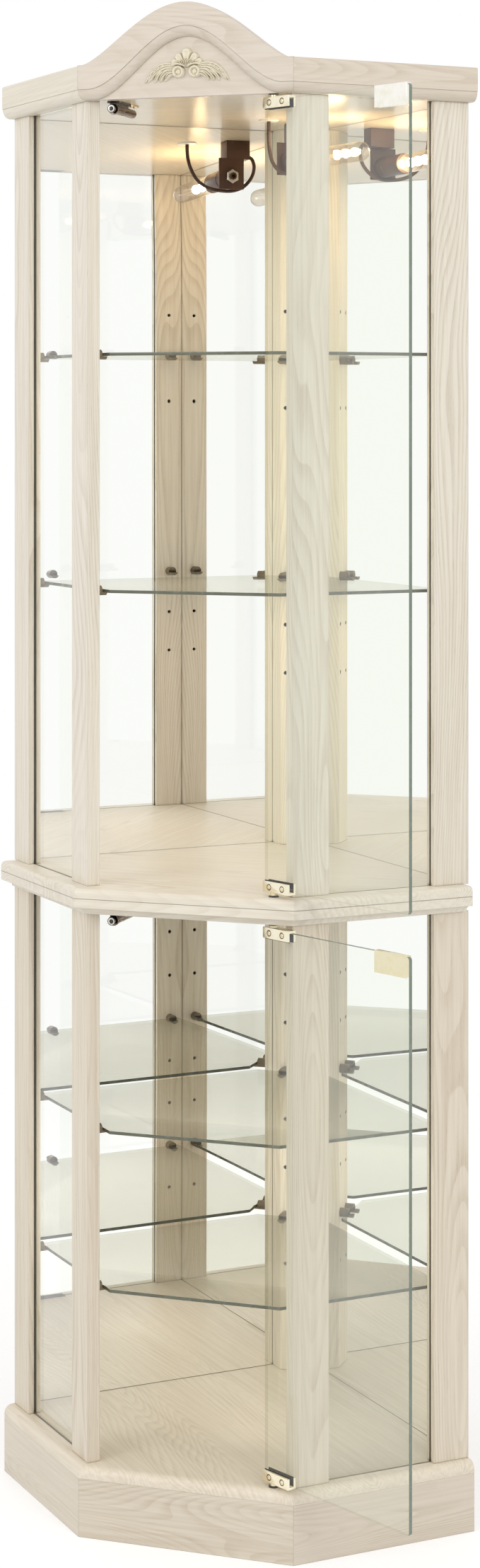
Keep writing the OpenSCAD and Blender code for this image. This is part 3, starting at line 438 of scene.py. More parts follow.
oak_crown_left = oak("oak_crown_left", LEFTWARD, (0.2, 0.0, 0.4), cast=(1.0, 1.0, 0.98), figure=70.0)
oak_ceiling = oak("oak_ceiling", ACROSS, (0.3, 0.2, 0.6), rings=0.03, pores=0.02, gloss=0.21,
                  cast=(1.0, 0.93, 0.83), bump=0.02, vary=0.02, raw_above=CROWN_Z + 4 * MM)
hardboard = board("hardboard")
side_pane = thin_glass("side_pane", rgba(0.990, 0.997, 0.987))
door_pane = thin_glass("door_pane", rgba(0.980, 0.990, 0.968))
shelf_pane = thin_glass("shelf_pane", rgba(0.97, 0.98, 0.96), share=0.08, haze=0.08,
                        slant_tint=rgba(0.80, 0.785, 0.72))
shelf_pane_up = thin_glass("shelf_pane_up", rgba(0.97, 0.98, 0.96), share=0.1, haze=0.05,
                           slant_tint=rgba(0.92, 0.915, 0.88))
shelf_edge = glass_edge("shelf_edge", rgba(0.095, 0.10, 0.07), rgba(0.16, 0.17, 0.125))
door_edge = glass_edge("door_edge", rgba(0.15, 0.19, 0.15), rgba(0.24, 0.29, 0.24), 20 * MM)
mirror_silver = silvering("mirror_silver")
brown = plastic("brown_moulding", (0.070, 0.032, 0.020), (0.105, 0.050, 0.030))
brown_pin = plastic("brown_pin", (0.165, 0.130, 0.080), (0.23, 0.185, 0.12))
black = plastic("black_moulding", (0.020, 0.018, 0.017), (0.045, 0.040, 0.037))
rubber = plastic("black_pad", (0.015, 0.015, 0.015), (0.03, 0.03, 0.03), (0.6, 0.8), 900.0, 0.05)
white_cap = plastic("white_cap", (0.80, 0.78, 0.72), (0.86, 0.84, 0.79))
cord_skin = plastic("cord_skin", (0.060, 0.026, 0.015), (0.085, 0.038, 0.022), (0.35, 0.5))
brass = metal("brass_plate", (0.91, 0.85, 0.67), (0.86, 0.78, 0.57), (0.12, 0.20))
brass_dark = metal("brass_screw", (0.85, 0.76, 0.52), (0.62, 0.50, 0.28), (0.2, 0.35))
bright = metal("bright_sheet", (0.95, 0.93, 0.87), (0.88, 0.84, 0.70), (0.06, 0.14))
gilt = metal("gilt_sheet", (0.82, 0.76, 0.54), (0.78, 0.70, 0.46), (0.14, 0.22))
bronze = metal("bronze_barrel", (0.24, 0.18, 0.14), (0.075, 0.055, 0.045), (0.10, 0.2))
steel = metal("nut_steel", (0.70, 0.68, 0.62), (0.48, 0.45, 0.40), (0.2, 0.35))
plaster = carved("carved_cream")

# By a node's name, or by what follows lower_ or upper_ in it
LOOKS = {
    "plinth_front": oak_plinth, "plinth_left": oak_left, "plinth_right": oak_right,
    "plinth_back_rails": oak_left, "base_board": oak_floor, "lower_top_board": oak_waist,
    "upper_base_board": oak_waist, "upper_back_post": oak_back, "ceiling_board": oak_ceiling,
    "crown_front": oak_crown, "crown_left": oak_crown_left, "crown_right": oak_right,
    "pivot_bushes": black, "shelf_pins": brown_pin, "hinge_pads": rubber, "back_panels": hardboard,
    "glass_left": side_pane, "glass_right": side_pane, "mirror_left": mirror_silver,
    "mirror_right": mirror_silver,
}
for name, cad in nodes.items():
    look = LOOKS.get(name) or LOOKS.get(name.partition("_")[2])
    if not look and "_post" in name:
        look = oak_low if name.startswith("lower") else oak_up
    if look:
        cad.data.materials.clear()
        cad.data.materials.append(look)

# ---- Shapes ----


def add_object(name, data):
    obj = bpy.data.objects.new(name, data)
    scene.collection.objects.link(obj)
    return obj


def outward(bm):
    """The shape with its faces turned outwards."""
    bmesh.ops.recalc_face_normals(bm, faces=bm.faces)
    return bm


def soften(bm, radius):
    """The shape with its sharp edges eased."""
    if radius:
        sharp = [e for e in bm.edges if e.is_manifold and e.calc_face_angle() > math.radians(30)]
        bmesh.ops.bevel(bm, geom=sharp, offset=radius, segments=2, profile=0.6, affect="EDGES",
                        clamp_overlap=True)
    return bm


def block(lo, hi, radius=0.0):
    """A box between two corners, with eased edges."""
    bm = bmesh.new()
    bmesh.ops.create_cube(bm, size=1)
    lo, hi = Vector(lo), Vector(hi)
    for v in bm.verts:
        v.co = [lo[i] + (hi[i] - lo[i]) * (v.co[i] + 0.5) for i in range(3)]
    return soften(bm, radius)


def prism(outline, height, radius=0.0):
    """An outline in X and Y raised along Z."""
    bm = bmesh.new()
    face = bm.faces.new([bm.verts.new((x, y, 0)) for x, y in outline])
    raised = bmesh.ops.extrude_face_region(bm, geom=[face])["geom"]
    top = [v for v in raised if isinstance(v, bmesh.types.BMVert)]
    bmesh.ops.translate(bm, vec=(0, 0, height), verts=top)
    return soften(outward(bm), radius)


def lathe(profile, count=48):
    """(radius, z) points turned about Z. A radius of 0 closes the end."""
    bm = bmesh.new()
    angles = [2 * math.pi * i / count for i in range(count)]
    loops = []
    for radius, z in profile:
        if radius < 1e-7:
            loops.append([bm.verts.new((0, 0, z))])
        else:
            loops.append([bm.verts.new((radius * math.cos(a), radius * math.sin(a), z)) for a in angles])
    closed = len(loops[0]) > 1 and len(loops[-1]) > 1
    for a, b in zip(loops, loops[1:] + (loops[:1] if closed else [])):
        for i in range(count):
            j = (i + 1) % count
            corners = [a[i % len(a)], a[j % len(a)], b[j % len(b)], b[i % len(b)]]
            unique = list(dict.fromkeys(corners))
            if len(unique) > 2:
                bm.faces.new(unique)
    return outward(bm)


def spline(points, steps):
    """A smooth curve through points."""
    p = [Vector(q) for q in points]
    p = [2 * p[0] - p[1]] + p + [2 * p[-1] - p[-2]]
    curve = []
    for a, b, c, d in zip(p, p[1:], p[2:], p[3:]):
        for i in range(steps):
            t = i / steps
            curve.append(0.5 * (2 * b + (c - a) * t + (2 * a - 5 * b + 4 * c - d) * t * t
                                + (3 * b - a - 3 * c + d) * t ** 3))
    return curve + [p[-2]]


def loft(bm, loops):
    """Faces from each loop of points to the next, and over both ends."""
    count = len(loops[0])
    for a, b in zip(loops, loops[1:]):
        for i in range(count):
            j = (i + 1) % count
            bm.faces.new((a[i], a[j], b[j], b[i]))
    bm.faces.new(loops[0][::-1])
    bm.faces.new(loops[-1])
    return outward(bm)


def tube(path, radius, count=14):
    """A round rod along a path, closed at both ends."""
    bm = bmesh.new()
    side = None
    loops = []
    for i, point in enumerate(path):
        ahead = (path[min(i + 1, len(path) - 1)] - path[max(i - 1, 0)]).normalized()
        if side is None:
            side = ahead.orthogonal().normalized()
        side = (side - ahead * side.dot(ahead)).normalized()
        other = ahead.cross(side)
        loops.append([bm.verts.new(point + radius * (side * math.cos(a) + other * math.sin(a)))
                      for a in (2 * math.pi * j / count for j in range(count))])
    return loft(bm, loops)


def piece(name, body, parts, place=Matrix(), stands_for=(), smooth=35):
    """One object of (shape, matrix or None, material) parts, which rides on body."""
    whole = bmesh.new()
    looks = []
    for shape, move, look in parts:
        if look not in looks:
            looks.append(look)
        loose = bpy.data.meshes.new("loose")
        shape.to_mesh(loose)
        loose.transform(place @ (move or Matrix()))
        start = len(whole.faces)
        whole.from_mesh(loose)
        whole.faces.ensure_lookup_table()
        for face in whole.faces[start:]:
            face.material_index = looks.index(look)
        bpy.data.meshes.remove(loose)
    mesh = bpy.data.meshes.new(name)
    whole.to_mesh(mesh)
    for look in looks:
        mesh.materials.append(look)
    mesh.shade_smooth()
    mesh.set_sharp_from_angle(angle=math.radians(smooth))
    obj = add_object(name, mesh)
    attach(obj, body)
    if stands_for:
        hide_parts(*stands_for)
    return obj


def cut(target, tool):
    """target with tool taken away."""
    objects = []
    for shape in (target, tool):
        mesh = bpy.data.meshes.new("cut")
        shape.to_mesh(mesh)
        objects.append(add_object("cut", mesh))
    modifier = objects[0].modifiers.new("cut", "BOOLEAN")
    modifier.object = objects[1]
    modifier.operation = "DIFFERENCE"
    modifier.solver = "EXACT"
    result = bmesh.new()
    result.from_object(objects[0], bpy.context.evaluated_depsgraph_get())
    for obj in objects:
        mesh = obj.data
        bpy.data.objects.remove(obj)
        bpy.data.meshes.remove(mesh)
    return result


def shift(x, y, z):
    return Matrix.Translation((x, y, z))


def turn(degrees, axis):
    return Matrix.Rotation(math.radians(degrees), 4, axis)


# ---- Panes ----


def pane(name, body, outline, thick, place, replaced, look, edge_look):
    """A flat pane with its edge a material of its own."""
    shape = prism(outline, thick, 0.4 * MM)
    obj = piece(name, body, [(shape, None, look)], place, (replaced,))
    obj.data.materials.append(edge_look)
    flat = place.to_3x3() @ Vector((0, 0, 1))
    for polygon in obj.data.polygons:
        if abs(polygon.normal.dot(flat)) < 0.9:
            polygon.material_index = 1
    return obj


def rounded_rectangle(x0, x1, y0, y1, radius):
    steps = 5
    points = []
    for cx, cy, start in ((x1 - radius, y1 - radius, 0), (x0 + radius, y1 - radius, 90),
                          (x0 + radius, y0 + radius, 180), (x1 - radius, y0 + radius, 270)):
        for i in range(steps + 1):
            angle = math.radians(start + 90 * i / steps)
            points.append((cx + radius * math.cos(angle), cy + radius * math.sin(angle)))
    return points


DOOR_PLACE = shift(PIVOT_X, PIVOT_Y, 0) @ turn(OPEN_ANGLE, "Z")
DOORS = {"upper": (UPPER_Z + DOOR_GAP_BOTTOM, CROWN_Z - DOOR_GAP_TOP),
         "lower": (LOWER_Z + DOOR_GAP_BOTTOM, LOWER_TOP_Z - DOOR_GAP_TOP)}
for level, (z0, z1) in DOORS.items():
    upright = DOOR_PLACE @ shift(0, DOOR_T / 2, 0) @ turn(90, "X")
    pane(level + "_door_pane", level + "_door",
         rounded_rectangle(-DOOR_REACH, HINGE_BACK, z0, z1, DOOR_CORNER), DOOR_T,
         upright, level + "_door_glass", door_pane, door_edge)

for name in ("lower_shelf_bottom", "lower_shelf_top", "upper_shelf_bottom", "upper_shelf_top"):
    lo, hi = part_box(name)
    # The outline is the node's own, its points put in order round their middle
    outline = sorted(set((round(v.co.x, 6), round(v.co.y, 6)) for v in nodes[name].data.vertices))
    mid_x, mid_y = (sum(values) / len(outline) for values in zip(*outline))
    outline.sort(key=lambda p: math.atan2(p[1] - mid_y, p[0] - mid_x))
    pane(name + "_pane", "cabinet", outline, hi.z - lo.z, shift(0, 0, lo.z), name,
         shelf_pane_up if name.startswith("upper") else shelf_pane, shelf_edge)

# ---- Door fittings ----


SLOT_FLOOR = 0.45
SCREW_SUNK = 0.9 * MM


def phillips(radius, height):
    """A screw head with a domed rim and a cross slot, standing on z = 0."""
    dome = lathe([(0, 0), (radius, 0), (radius, height * SLOT_FLOOR), (radius * 0.86, height * 0.8),
                  (radius * 0.5, height * 0.97), (0, height)], 32)
    arm = radius * 0.62
    wide = radius * 0.15
    cross = [(arm, -wide), (arm, wide), (wide, wide), (wide, arm), (-wide, arm), (-wide, wide),
             (-arm, wide), (-arm, -wide), (-wide, -wide), (-wide, -arm), (wide, -arm), (wide, -wide)]
    bit = prism(cross, height * 2)
    bit.transform(shift(0, 0, height * SLOT_FLOOR))
    return cut(dome, bit)


def slot_shade(radius, height):
    """A black disc at the bottom of a screw's cross slot: painted shade."""
    well = lathe([(0, 0), (radius * 0.66, 0), (radius * 0.66, 0.08 * MM), (0, 0.08 * MM)], 16)
    well.transform(shift(0, 0, height * SLOT_FLOOR))
    return well


screw_head = phillips(SCREW_R * 1.02, SCREW_PROUD + SCREW_SUNK)
screw_slot = slot_shade(SCREW_R * 1.02, SCREW_PROUD + SCREW_SUNK)


def clamp_parts(gap):
    """A hinge clamp for the top edge of a door at z = 0, with its screws."""
    x0, x1 = HINGE_BACK - CLAMP_LEN, HINGE_BACK
    parts = []
    for k in (-1, 1):
        lo_y, hi_y = sorted((k * CLAMP_HALF, k * (CLAMP_HALF - CLAMP_PLATE)))
        plate = block((x0, lo_y, CLAMP_BRIDGE - CLAMP_H), (x1, hi_y, CLAMP_BRIDGE), 0.5 * MM)
        parts.append((plate, None, brass))
    bridge = block((x0, -CLAMP_HALF, 0), (x1, CLAMP_HALF, CLAMP_BRIDGE), 0.5 * MM)
    parts.append((bridge, None, brass))
    pin_top = gap + BUSH_DEPTH - 0.5 * MM
    shoulder = gap - BUSH_FLANGE - 0.1 * MM
    pin = lathe([(0, 0), (PIN_R + 1.2 * MM, 0), (PIN_R + 1.2 * MM, shoulder - 0.4 * MM),
                 (PIN_R + 0.8 * MM, shoulder), (PIN_R, shoulder), (PIN_R, pin_top - 0.6 * MM),
                 (PIN_R - 0.6 * MM, pin_top), (0, pin_top)], 32)
    parts.append((pin, None, brass_dark))
    middle = HINGE_BACK - CLAMP_LEN / 2
    for k in (-1, 1):
        seat = shift(middle + k * CLAMP_LEN / 4, CLAMP_HALF - SCREW_SUNK,
                     CLAMP_BRIDGE - CLAMP_H / 2) @ turn(-90, "X")
        head = seat @ turn(20 + 35 * k, "Z")
        parts.append((screw_head.copy(), head, brass_dark))
        parts.append((screw_slot.copy(), head, black))
        ring = lathe([(SCREW_R * 0.95, 0), (SCREW_R * 1.4, 0), (SCREW_R * 1.4, 0.95 * MM),
                      (SCREW_R * 0.95, 0.95 * MM)], 32)
        parts.append((ring, seat, bronze))
    return parts


for level, (z0, z1) in DOORS.items():
    top = DOOR_PLACE @ shift(0, 0, z1)
    bottom = DOOR_PLACE @ shift(0, 0, z0) @ Matrix.Scale(-1, 4, (0, 0, 1))
    both = [(shape, top @ (move or Matrix()), look) for shape, move, look in clamp_parts(DOOR_GAP_TOP)]
    for shape, move, look in clamp_parts(DOOR_GAP_BOTTOM):
        bmesh.ops.reverse_faces(shape, faces=shape.faces)
        both.append((shape, bottom @ (move or Matrix()), look))
    piece(level + "_clamps", level + "_door", both, Matrix(),
          (level + "_hinge_clamps", level + "_hinge_screws"))

    half, foot = DOOR_T / 2, STRIKE_T - STRIKE_H
    u_shape = [(-half - STRIKE_T, foot), (-half, foot), (-half, 0), (half, 0), (half, foot),
               (half + STRIKE_T, foot), (half + STRIKE_T, STRIKE_T), (-half - STRIKE_T, STRIKE_T)]
    clip = prism(u_shape, STRIKE_LEN, 0.35 * MM)
    # The clip's section is in X and Y: it turns to Y and Z, and the clip's length to X
    stand = Matrix(((0, 0, 1, 0), (1, 0, 0, 0), (0, 1, 0, 0), (0, 0, 0, 1)))
    piece(level + "_strike", level + "_door",
          [(clip, stand, bright if level == "upper" else gilt)],
          DOOR_PLACE @ shift(STRIKE_IN - DOOR_REACH, 0, z1), (level + "_strike_clip",))

# ---- Touch latches ----

WEB_W = 9 * MM

for level, top_z in (("upper", CROWN_Z), ("lower", LOWER_TOP_Z)):
    axis = shift(-LATCH_X, 0, top_z - LATCH_DROP) @ turn(-90, "X")
    bore, neck = PLUNGER_R + 0.1 * MM, LATCH_R - 0.5 * MM
    lip, flange = LATCH_R + 0.4 * MM, LATCH_R + MM
    barrel = lathe([(bore, 0), (lip, 0), (flange, 0.6 * MM), (flange, 3.6 * MM), (lip, 4 * MM),
                    (LATCH_R, 4.4 * MM), (LATCH_R, 22 * MM), (neck, 22.4 * MM), (neck, 23.4 * MM),
                    (LATCH_R, 23.8 * MM), (LATCH_R, LATCH_LEN - 2 * MM), (LATCH_R - 1.6 * MM, LATCH_LEN),
                    (bore, LATCH_LEN)], 40)
    left, right = -LATCH_X - LATCH_PLATE_W / 2, -LATCH_X + LATCH_PLATE_W / 2
    tab_y = LATCH_Y + 0.6 * LATCH_LEN
    plate = block((left, LATCH_Y, top_z - LATCH_PLATE_T), (right, tab_y, top_z), 0.4 * MM)
    tab = block((left, tab_y, top_z - LATCH_PLATE_T), (right, LATCH_Y + LATCH_LEN, top_z), 0.4 * MM)
    web = prism([(0, 0), (LATCH_DROP, 0), (LATCH_DROP, LATCH_LEN * 0.8), (0, LATCH_LEN * 0.35)],
                WEB_W, 0.4 * MM)
    web_place = shift(-LATCH_X + WEB_W / 2, LATCH_Y, top_z - LATCH_DROP) @ turn(-90, "Y")
    parts = [(barrel, axis @ shift(0, 0, LATCH_Y), bronze), (plate, None, black), (tab, None, gilt),
             (web, web_place, black)]
    for along in (0.72, 0.9):
        for k in (-1, 1):
            seat = shift(-LATCH_X + k * 5 * MM, LATCH_Y + along * LATCH_LEN, top_z - LATCH_PLATE_T)
            screw = phillips(2.2 * MM, 1.2 * MM)
            parts.append((screw, seat @ turn(180, "X") @ turn(30 * along, "Z"), brass_dark))
    piece(level + "_touch_latch", "cabinet", parts, Matrix(), (level + "_latch",))

    rim, back, end = PLUNGER_HEAD_R, PLUNGER_HEAD, PLUNGER_HEAD + PLUNGER_ROD
    head = lathe([(0.86 * rim, 0.3 * MM), (0.92 * rim, 0), (rim, 0.6 * MM), (rim, back - 0.4 * MM),
                  (rim - 0.4 * MM, back), (PLUNGER_R, back), (PLUNGER_R, end - 0.4 * MM),
                  (PLUNGER_R - 0.4 * MM, end), (0, end), (0, MM), (0.86 * rim, MM)], 40)
    ring = lathe([(0.5 * rim, 0.5 * MM), (0.6 * rim, 0.15 * MM), (0.78 * rim, 0.15 * MM),
                  (0.86 * rim, 0.4 * MM), (0.86 * rim, MM), (0.5 * rim, MM)], 40)
    button = lathe([(0, 0), (0.25 * rim, 0.08 * MM), (0.44 * rim, 0.4 * MM), (0.5 * rim, MM),
                    (0, MM)], 40)
    piece(level + "_push_rod", level + "_latch_plunger",
          [(head, None, black), (ring, None, steel), (button, None, black)],
          axis @ shift(0, 0, PLUNGER_TIP_Y), (level + "_plunger",))

# ---- Lamp ----

lamp_x, lamp_y = side_pt(SIDE_LEN - MIRROR_SET - LAMP_OFF_MIRROR,
                         WALL_LEN - MIRROR_SET - LAMP_OFF_CORNER)
LAMP_PLACE = shift(lamp_x, lamp_y, CROWN_Z - LAMP_DROP) @ turn(LAMP_SKEW - 45, "Z")
ALONG_X = turn(90, "Y")

box_part = block((0, LAMP_BOX_SIDE - LAMP_BOX_W, LAMP_DROP - LAMP_BOX_H),
                 (LAMP_BOX_D, LAMP_BOX_SIDE, LAMP_DROP), 0.8 * MM)
plate_part = block((0, -LAMP_PLATE_W / 2, -LAMP_PLATE_DROP),
                   (LAMP_PLATE_T, LAMP_PLATE_W / 2, LAMP_DROP - LAMP_BOX_H + MM), 0.5 * MM)
piece("lamp_holder", "cabinet",
      [(box_part, None, brown), (plate_part, None, brown)], LAMP_PLACE, ("lamp_bracket",))

nut_bore, nut_r, nut_face = NIPPLE_R + 0.1 * MM, NIPPLE_R * 1.9, NIPPLE_R * 1.72
nut = lathe([(nut_bore, 0), (nut_face, 0), (nut_r, 0.7 * MM), (nut_r, NUT_T - 0.7 * MM), (nut_face, NUT_T),
             (nut_bore, NUT_T)], 6)
piece("lamp_lock_nut", "cabinet", [(nut, None, steel)],
      LAMP_PLACE @ shift(-NUT_T, 0, 0) @ ALONG_X, ("lamp_nut",), smooth=20)

sock0, sock1 = LAMP_PLATE_T, LAMP_PLATE_T + SOCKET_LEN
mouth, groove = BULB_BASE_R + 0.2 * MM, SOCKET_R - 0.7 * MM
nipple_end, well = -NUT_T - 2 * MM, sock1 - BULB_BASE_LEN - 0.2 * MM
socket_profile = [(3 * MM, nipple_end), (NIPPLE_R - 0.4 * MM, nipple_end), (NIPPLE_R, -NUT_T - 1.6 * MM),
                  (NIPPLE_R, sock0), (SOCKET_R - 2 * MM, sock0), (SOCKET_R - 0.6 * MM, sock0 + 0.6 * MM),
                  (SOCKET_R, sock0 + 2 * MM), (SOCKET_R, sock0 + 20 * MM), (groove, sock0 + 20.7 * MM),
                  (groove, sock0 + 22 * MM), (SOCKET_R, sock0 + 22.7 * MM), (SOCKET_R, sock1 - 3 * MM),
                  (SOCKET_R - MM, sock1), (mouth, sock1), (mouth, well), (3 * MM, well)]
piece("lamp_socket_shell", "cabinet", [(lathe(socket_profile, 48), None, brown)],
      LAMP_PLACE @ ALONG_X, ("lamp_socket",))

bulb_tip = sock1 + BULB_LEN
dome = [(BULB_R * math.cos(math.radians(a)), bulb_tip - BULB_R + BULB_R * math.sin(math.radians(a)))
        for a in range(0, 90, 8)]
neck = [(BULB_BASE_R, sock1), (BULB_BASE_R + 0.3 * MM, sock1 + 2 * MM),
        (BULB_R - 1.2 * MM, sock1 + 7 * MM), (BULB_R - 0.2 * MM, sock1 + 11 * MM),
        (BULB_R, sock1 + 15 * MM)]
envelope = lathe([(0, sock1)] + neck + dome + [(0, bulb_tip)], 48)
cap_profile = [(0, sock1 - BULB_BASE_LEN), (BULB_BASE_R * 0.5, sock1 - BULB_BASE_LEN)]
for i in range(7):
    z = sock1 - BULB_BASE_LEN + (2 + 2.6 * i) * MM
    cap_profile += [(BULB_BASE_R * 0.93, z), (BULB_BASE_R, z + 1.3 * MM)]
cap_profile += [(BULB_BASE_R, sock1 - 0.5 * MM), (0, sock1 - 0.5 * MM)]


def bulb_glow(tree):
    """Light held in the glass: strong near the socket, fading to the tip."""
    start = LAMP_PLACE @ Vector((sock1, 0, 0))
    from_start = vector(tree, "SUBTRACT", object_point(tree), start)
    along = vector(tree, "DOT_PRODUCT", from_start, LAMP_PLACE.to_3x3() @ Vector((1, 0, 0)))
    return ramp(tree, along, 0.0, BULB_LEN * 0.55, 0.30, 0.0)


bulb_glass = thin_glass("bulb_envelope", rgba(0.95, 0.93, 0.89), bulb_glow,
                        slant_tint=rgba(0.56, 0.47, 0.36))
piece("lamp_bulb_glass", "cabinet",
      [(envelope, ALONG_X, bulb_glass), (lathe(cap_profile, 40), ALONG_X, steel)],
      LAMP_PLACE, ("lamp_bulb",))

# The filament: strands that spread and twist a little from the socket to the tip
STRANDS = 6
near, far, twist = 3.0 * MM, 5.0 * MM, 0.5
strands = []
for i in range(STRANDS):
    a = 2 * math.pi * i / STRANDS
    start = Vector((sock1 + 22 * MM, near * math.cos(a), near * math.sin(a)))
    end = Vector((bulb_tip - 20 * MM, far * math.cos(a + twist), far * math.sin(a + twist)))
    middle = (start + end) / 2 + Vector((0, 0.6 * MM, -0.8 * MM))
    look = glowing("filament_%d" % i, 1.3 if i % 2 else 0.75)
    strands.append((tube(spline([start, middle, end], 6), 0.22 * MM, 6), None, look))
piece("lamp_filament", "cabinet", strands, LAMP_PLACE)

route = [Vector(p) * MM for p in CORD_ROUTE]
piece("lamp_lead", "cabinet", [(tube(spline(route, 8), CORD_R, 16), None, cord_skin)],
      LAMP_PLACE, ("lamp_cord",))

cord_bore, step = CORD_R + 0.1 * MM, GROMMET_R - 0.4 * MM
grommet = lathe([(cord_bore, 0.4 * MM), (CORD_R + 0.8 * MM, -GROMMET_T), (GROMMET_R - 1.6 * MM, -GROMMET_T),
                 (step, -GROMMET_T + 0.6 * MM), (GROMMET_R, 0), (GROMMET_NECK, 0),
                 (GROMMET_NECK, GROMMET_LEN), (cord_bore, GROMMET_LEN)], 48)
grommet_at = LAMP_PLACE @ shift(route[0].x, route[0].y, LAMP_DROP)
piece("cord_inlet", "cabinet", [(grommet, None, white_cap)], grommet_at,
      ("cord_grommet",))

# ---- Arch moulding ----


def bell(x, half):
    """The height of the arch's curve at x, where it spans half to each side."""
    t = min(abs(x) / half, 1.0)
    return TYMPANUM_H * (0.5 + 0.5 * math.cos(math.pi * t)) ** BELL_FULLNESS


def moulding_section():
    """Points of the rounded moulding as (share of its width, depth behind the front)."""
    steps = 12
    angles = [math.pi / 2 * i / steps for i in range(steps + 1)]
    rounded = [(math.sin(a), QUIRK + (TYMPANUM_DEPTH - QUIRK) * (1 - math.cos(a))) for a in angles]
    return rounded + [(0.0, TYMPANUM_DEPTH)]


def arch_ring(t):
    """The moulding's section at share t of its half width, or at the mitre for t beyond it."""
    ring = []
    band_half = TYMPANUM_HALF + BAND_MARGIN
    for share, depth in moulding_section():
        if abs(t) > 1:
            x = math.copysign(FRONT_HALF + (CROWN_OUT - depth) * math.tan(math.pi / 8), t)
            z = CROWN_Z + CROWN_ROUND * (1 - share)
        else:
            x = t * (band_half + (TYMPANUM_HALF - band_half) * share)
            upper = CROWN_Z + CROWN_ROUND + bell(t * band_half, band_half)
            lower = CROWN_Z + bell(t * TYMPANUM_HALF, TYMPANUM_HALF)
            z = upper * (1 - share) + lower * share
        ring.append((x, FRONT_Y - CROWN_OUT + depth, z))
    return ring


arch = bmesh.new()
ARCH_STEPS = 72
across = [-2] + [i / ARCH_STEPS - 1 for i in range(2 * ARCH_STEPS + 1)] + [2]
loft(arch, [[arch.verts.new(p) for p in arch_ring(t)] for t in across])
piece("arch_round", "cabinet", [(arch, None, oak_crown)], Matrix(), ("arch_moulding",),
      smooth=50)

# ---- Carved ornament ----

# A grid of heights in millimetres, BARE where there is no carving
CELL, MARGIN, BARE = 0.45, 3, -1.0
columns = int(ORNAMENT_W / MM / 2 / CELL) + MARGIN + 1
rows = int((ORNAMENT_H / MM + 6) / CELL) + 2 * MARGIN
grid_x, grid_z = np.meshgrid(np.arange(-columns, columns + 1) * CELL, (np.arange(rows) - MARGIN) * CELL)
relief = np.full(grid_x.shape, BARE)


def stroke(points, widths, heights, rim=0.0, crease=0.0):
    """Raises the relief along a smooth line and its mirror image.

    rim hollows the middle of the lobe, and crease cuts a sharp line along it.
    """
    line = np.array([list(v) for v in spline([(x, z, 0) for x, z in points], 10)])[:, :2]
    share = np.linspace(0, 1, len(line))
    wide = np.interp(share, np.linspace(0, 1, len(widths)), widths)
    high = np.interp(share, np.linspace(0, 1, len(heights)), heights)
    for side in (-1, 1):
        away = np.hypot(grid_x[..., None] - side * line[:, 0], grid_z[..., None] - line[:, 1]) / wide
        best = away.argmin(axis=2)
        d = np.take_along_axis(away, best[..., None], axis=2)[..., 0]
        body = np.sqrt(np.clip(1 - d ** 2.6, 0, 1))
        body *= 1 - rim * np.exp(-(d / 0.55) ** 2) - crease * np.exp(-(d / 0.16) ** 2)
        shape = np.where(d < 1, high[best] * body, BARE * np.clip(d - 1, 0, 1))
        np.maximum(relief, shape, out=relief)


# Leaves that sweep out and down, from the longest to the one beside the scroll
LEAVES = (
    ([(15, 20.5), (27, 21), (36, 18.4), (45, 11), (53, 0.8)], 3.0, 4.4),
    ([(16, 18), (27, 18.4), (37, 13.6), (45, 6.5), (49.5, 1.6)], 2.8, 4.9),
    ([(16, 16), (26, 15.6), (34, 10.8), (38.5, 5.5), (40.5, 1.2)], 2.8, 5.4),
    ([(16, 13.5), (24, 12.8), (29.5, 8.6), (32.6, 4.6), (33.8, 1.6)], 2.8, 5.8),
    ([(15, 10), (20, 10), (24.6, 6.6), (27.4, 2.0)], 2.8, 6.0),
)
VEINS = ((30, 20.5, 37, 14), (35, 18.5, 42, 11), (40, 15, 46.5, 7), (27, 16.5, 33, 12),
         (31, 13, 36.5, 8))
for line, wide, high in LEAVES:
    stroke(line, [wide * 0.8, wide, wide, wide * 0.8, 0.8],
           [high * 0.8, high, high, high * 0.8, high * 0.4], crease=0.42)
for x0, z0, x1, z1 in VEINS:
    stroke([(x0, z0), ((x0 + x1) / 2 + 0.6, (z0 + z1) / 2 + 0.6), (x1, z1)], [0.7, 1.1, 0.5],
           [4.4, 5.6, 3.6])
# The scrolls: a cup with a rolled rim and a bud in it, and the band over it
CUP_X, CUP_Z, CUP_R = 10.3, 12.4, 5.6
cup = [(CUP_X + CUP_R * math.cos(a), CUP_Z + CUP_R * math.sin(a))
       for a in (math.radians(30 * i - 60) for i in range(13))]
stroke([(CUP_X, CUP_Z), (10.35, 12.45)], [6.4, 6.4], [3.4, 3.4])
stroke(cup, [2.1, 2.0, 1.7, 1.5], [6.6, 6.6, 6.0, 5.2])
stroke([(11.6, 10.9), (12.6, 11.6), (12.4, 13.4)], [1.9, 2.1, 1.5], [4.6, 4.8, 4.2])
stroke([(2.4, 19.0), (6, 20.6), (11, 21.6), (18, 20.4)], [1.2, 1.5, 1.6, 1.2], [6.2, 6.8, 6.8, 5.6])
# The shell: five dished petals about the point where they meet, each over its neighbour
SHELL_Z = 19.5
for x, z, wide, high in ((15.4, 24.0, 4.1, 5.4), (9.8, 29.6, 4.9, 6.4), (0.0, 34.4, 6.1, 7.6)):
    stroke([(x * 0.12, SHELL_Z), (x * 0.6, SHELL_Z + (z - SHELL_Z) * 0.55), (x, z)],
           [1.4, wide * 0.62, wide], [high * 0.8, high * 0.94, high], rim=0.45)
for lean in (0.0, 3.4, 7.0, 10.6):
    stroke([(lean * 0.25, 18.6), (lean * 0.7, 23.0), (lean, 27.2 - lean * 0.28)], [0.7, 0.95, 0.5],
           [6.0, 7.6, 6.0])
relief = np.minimum(relief, ORNAMENT_T / MM)

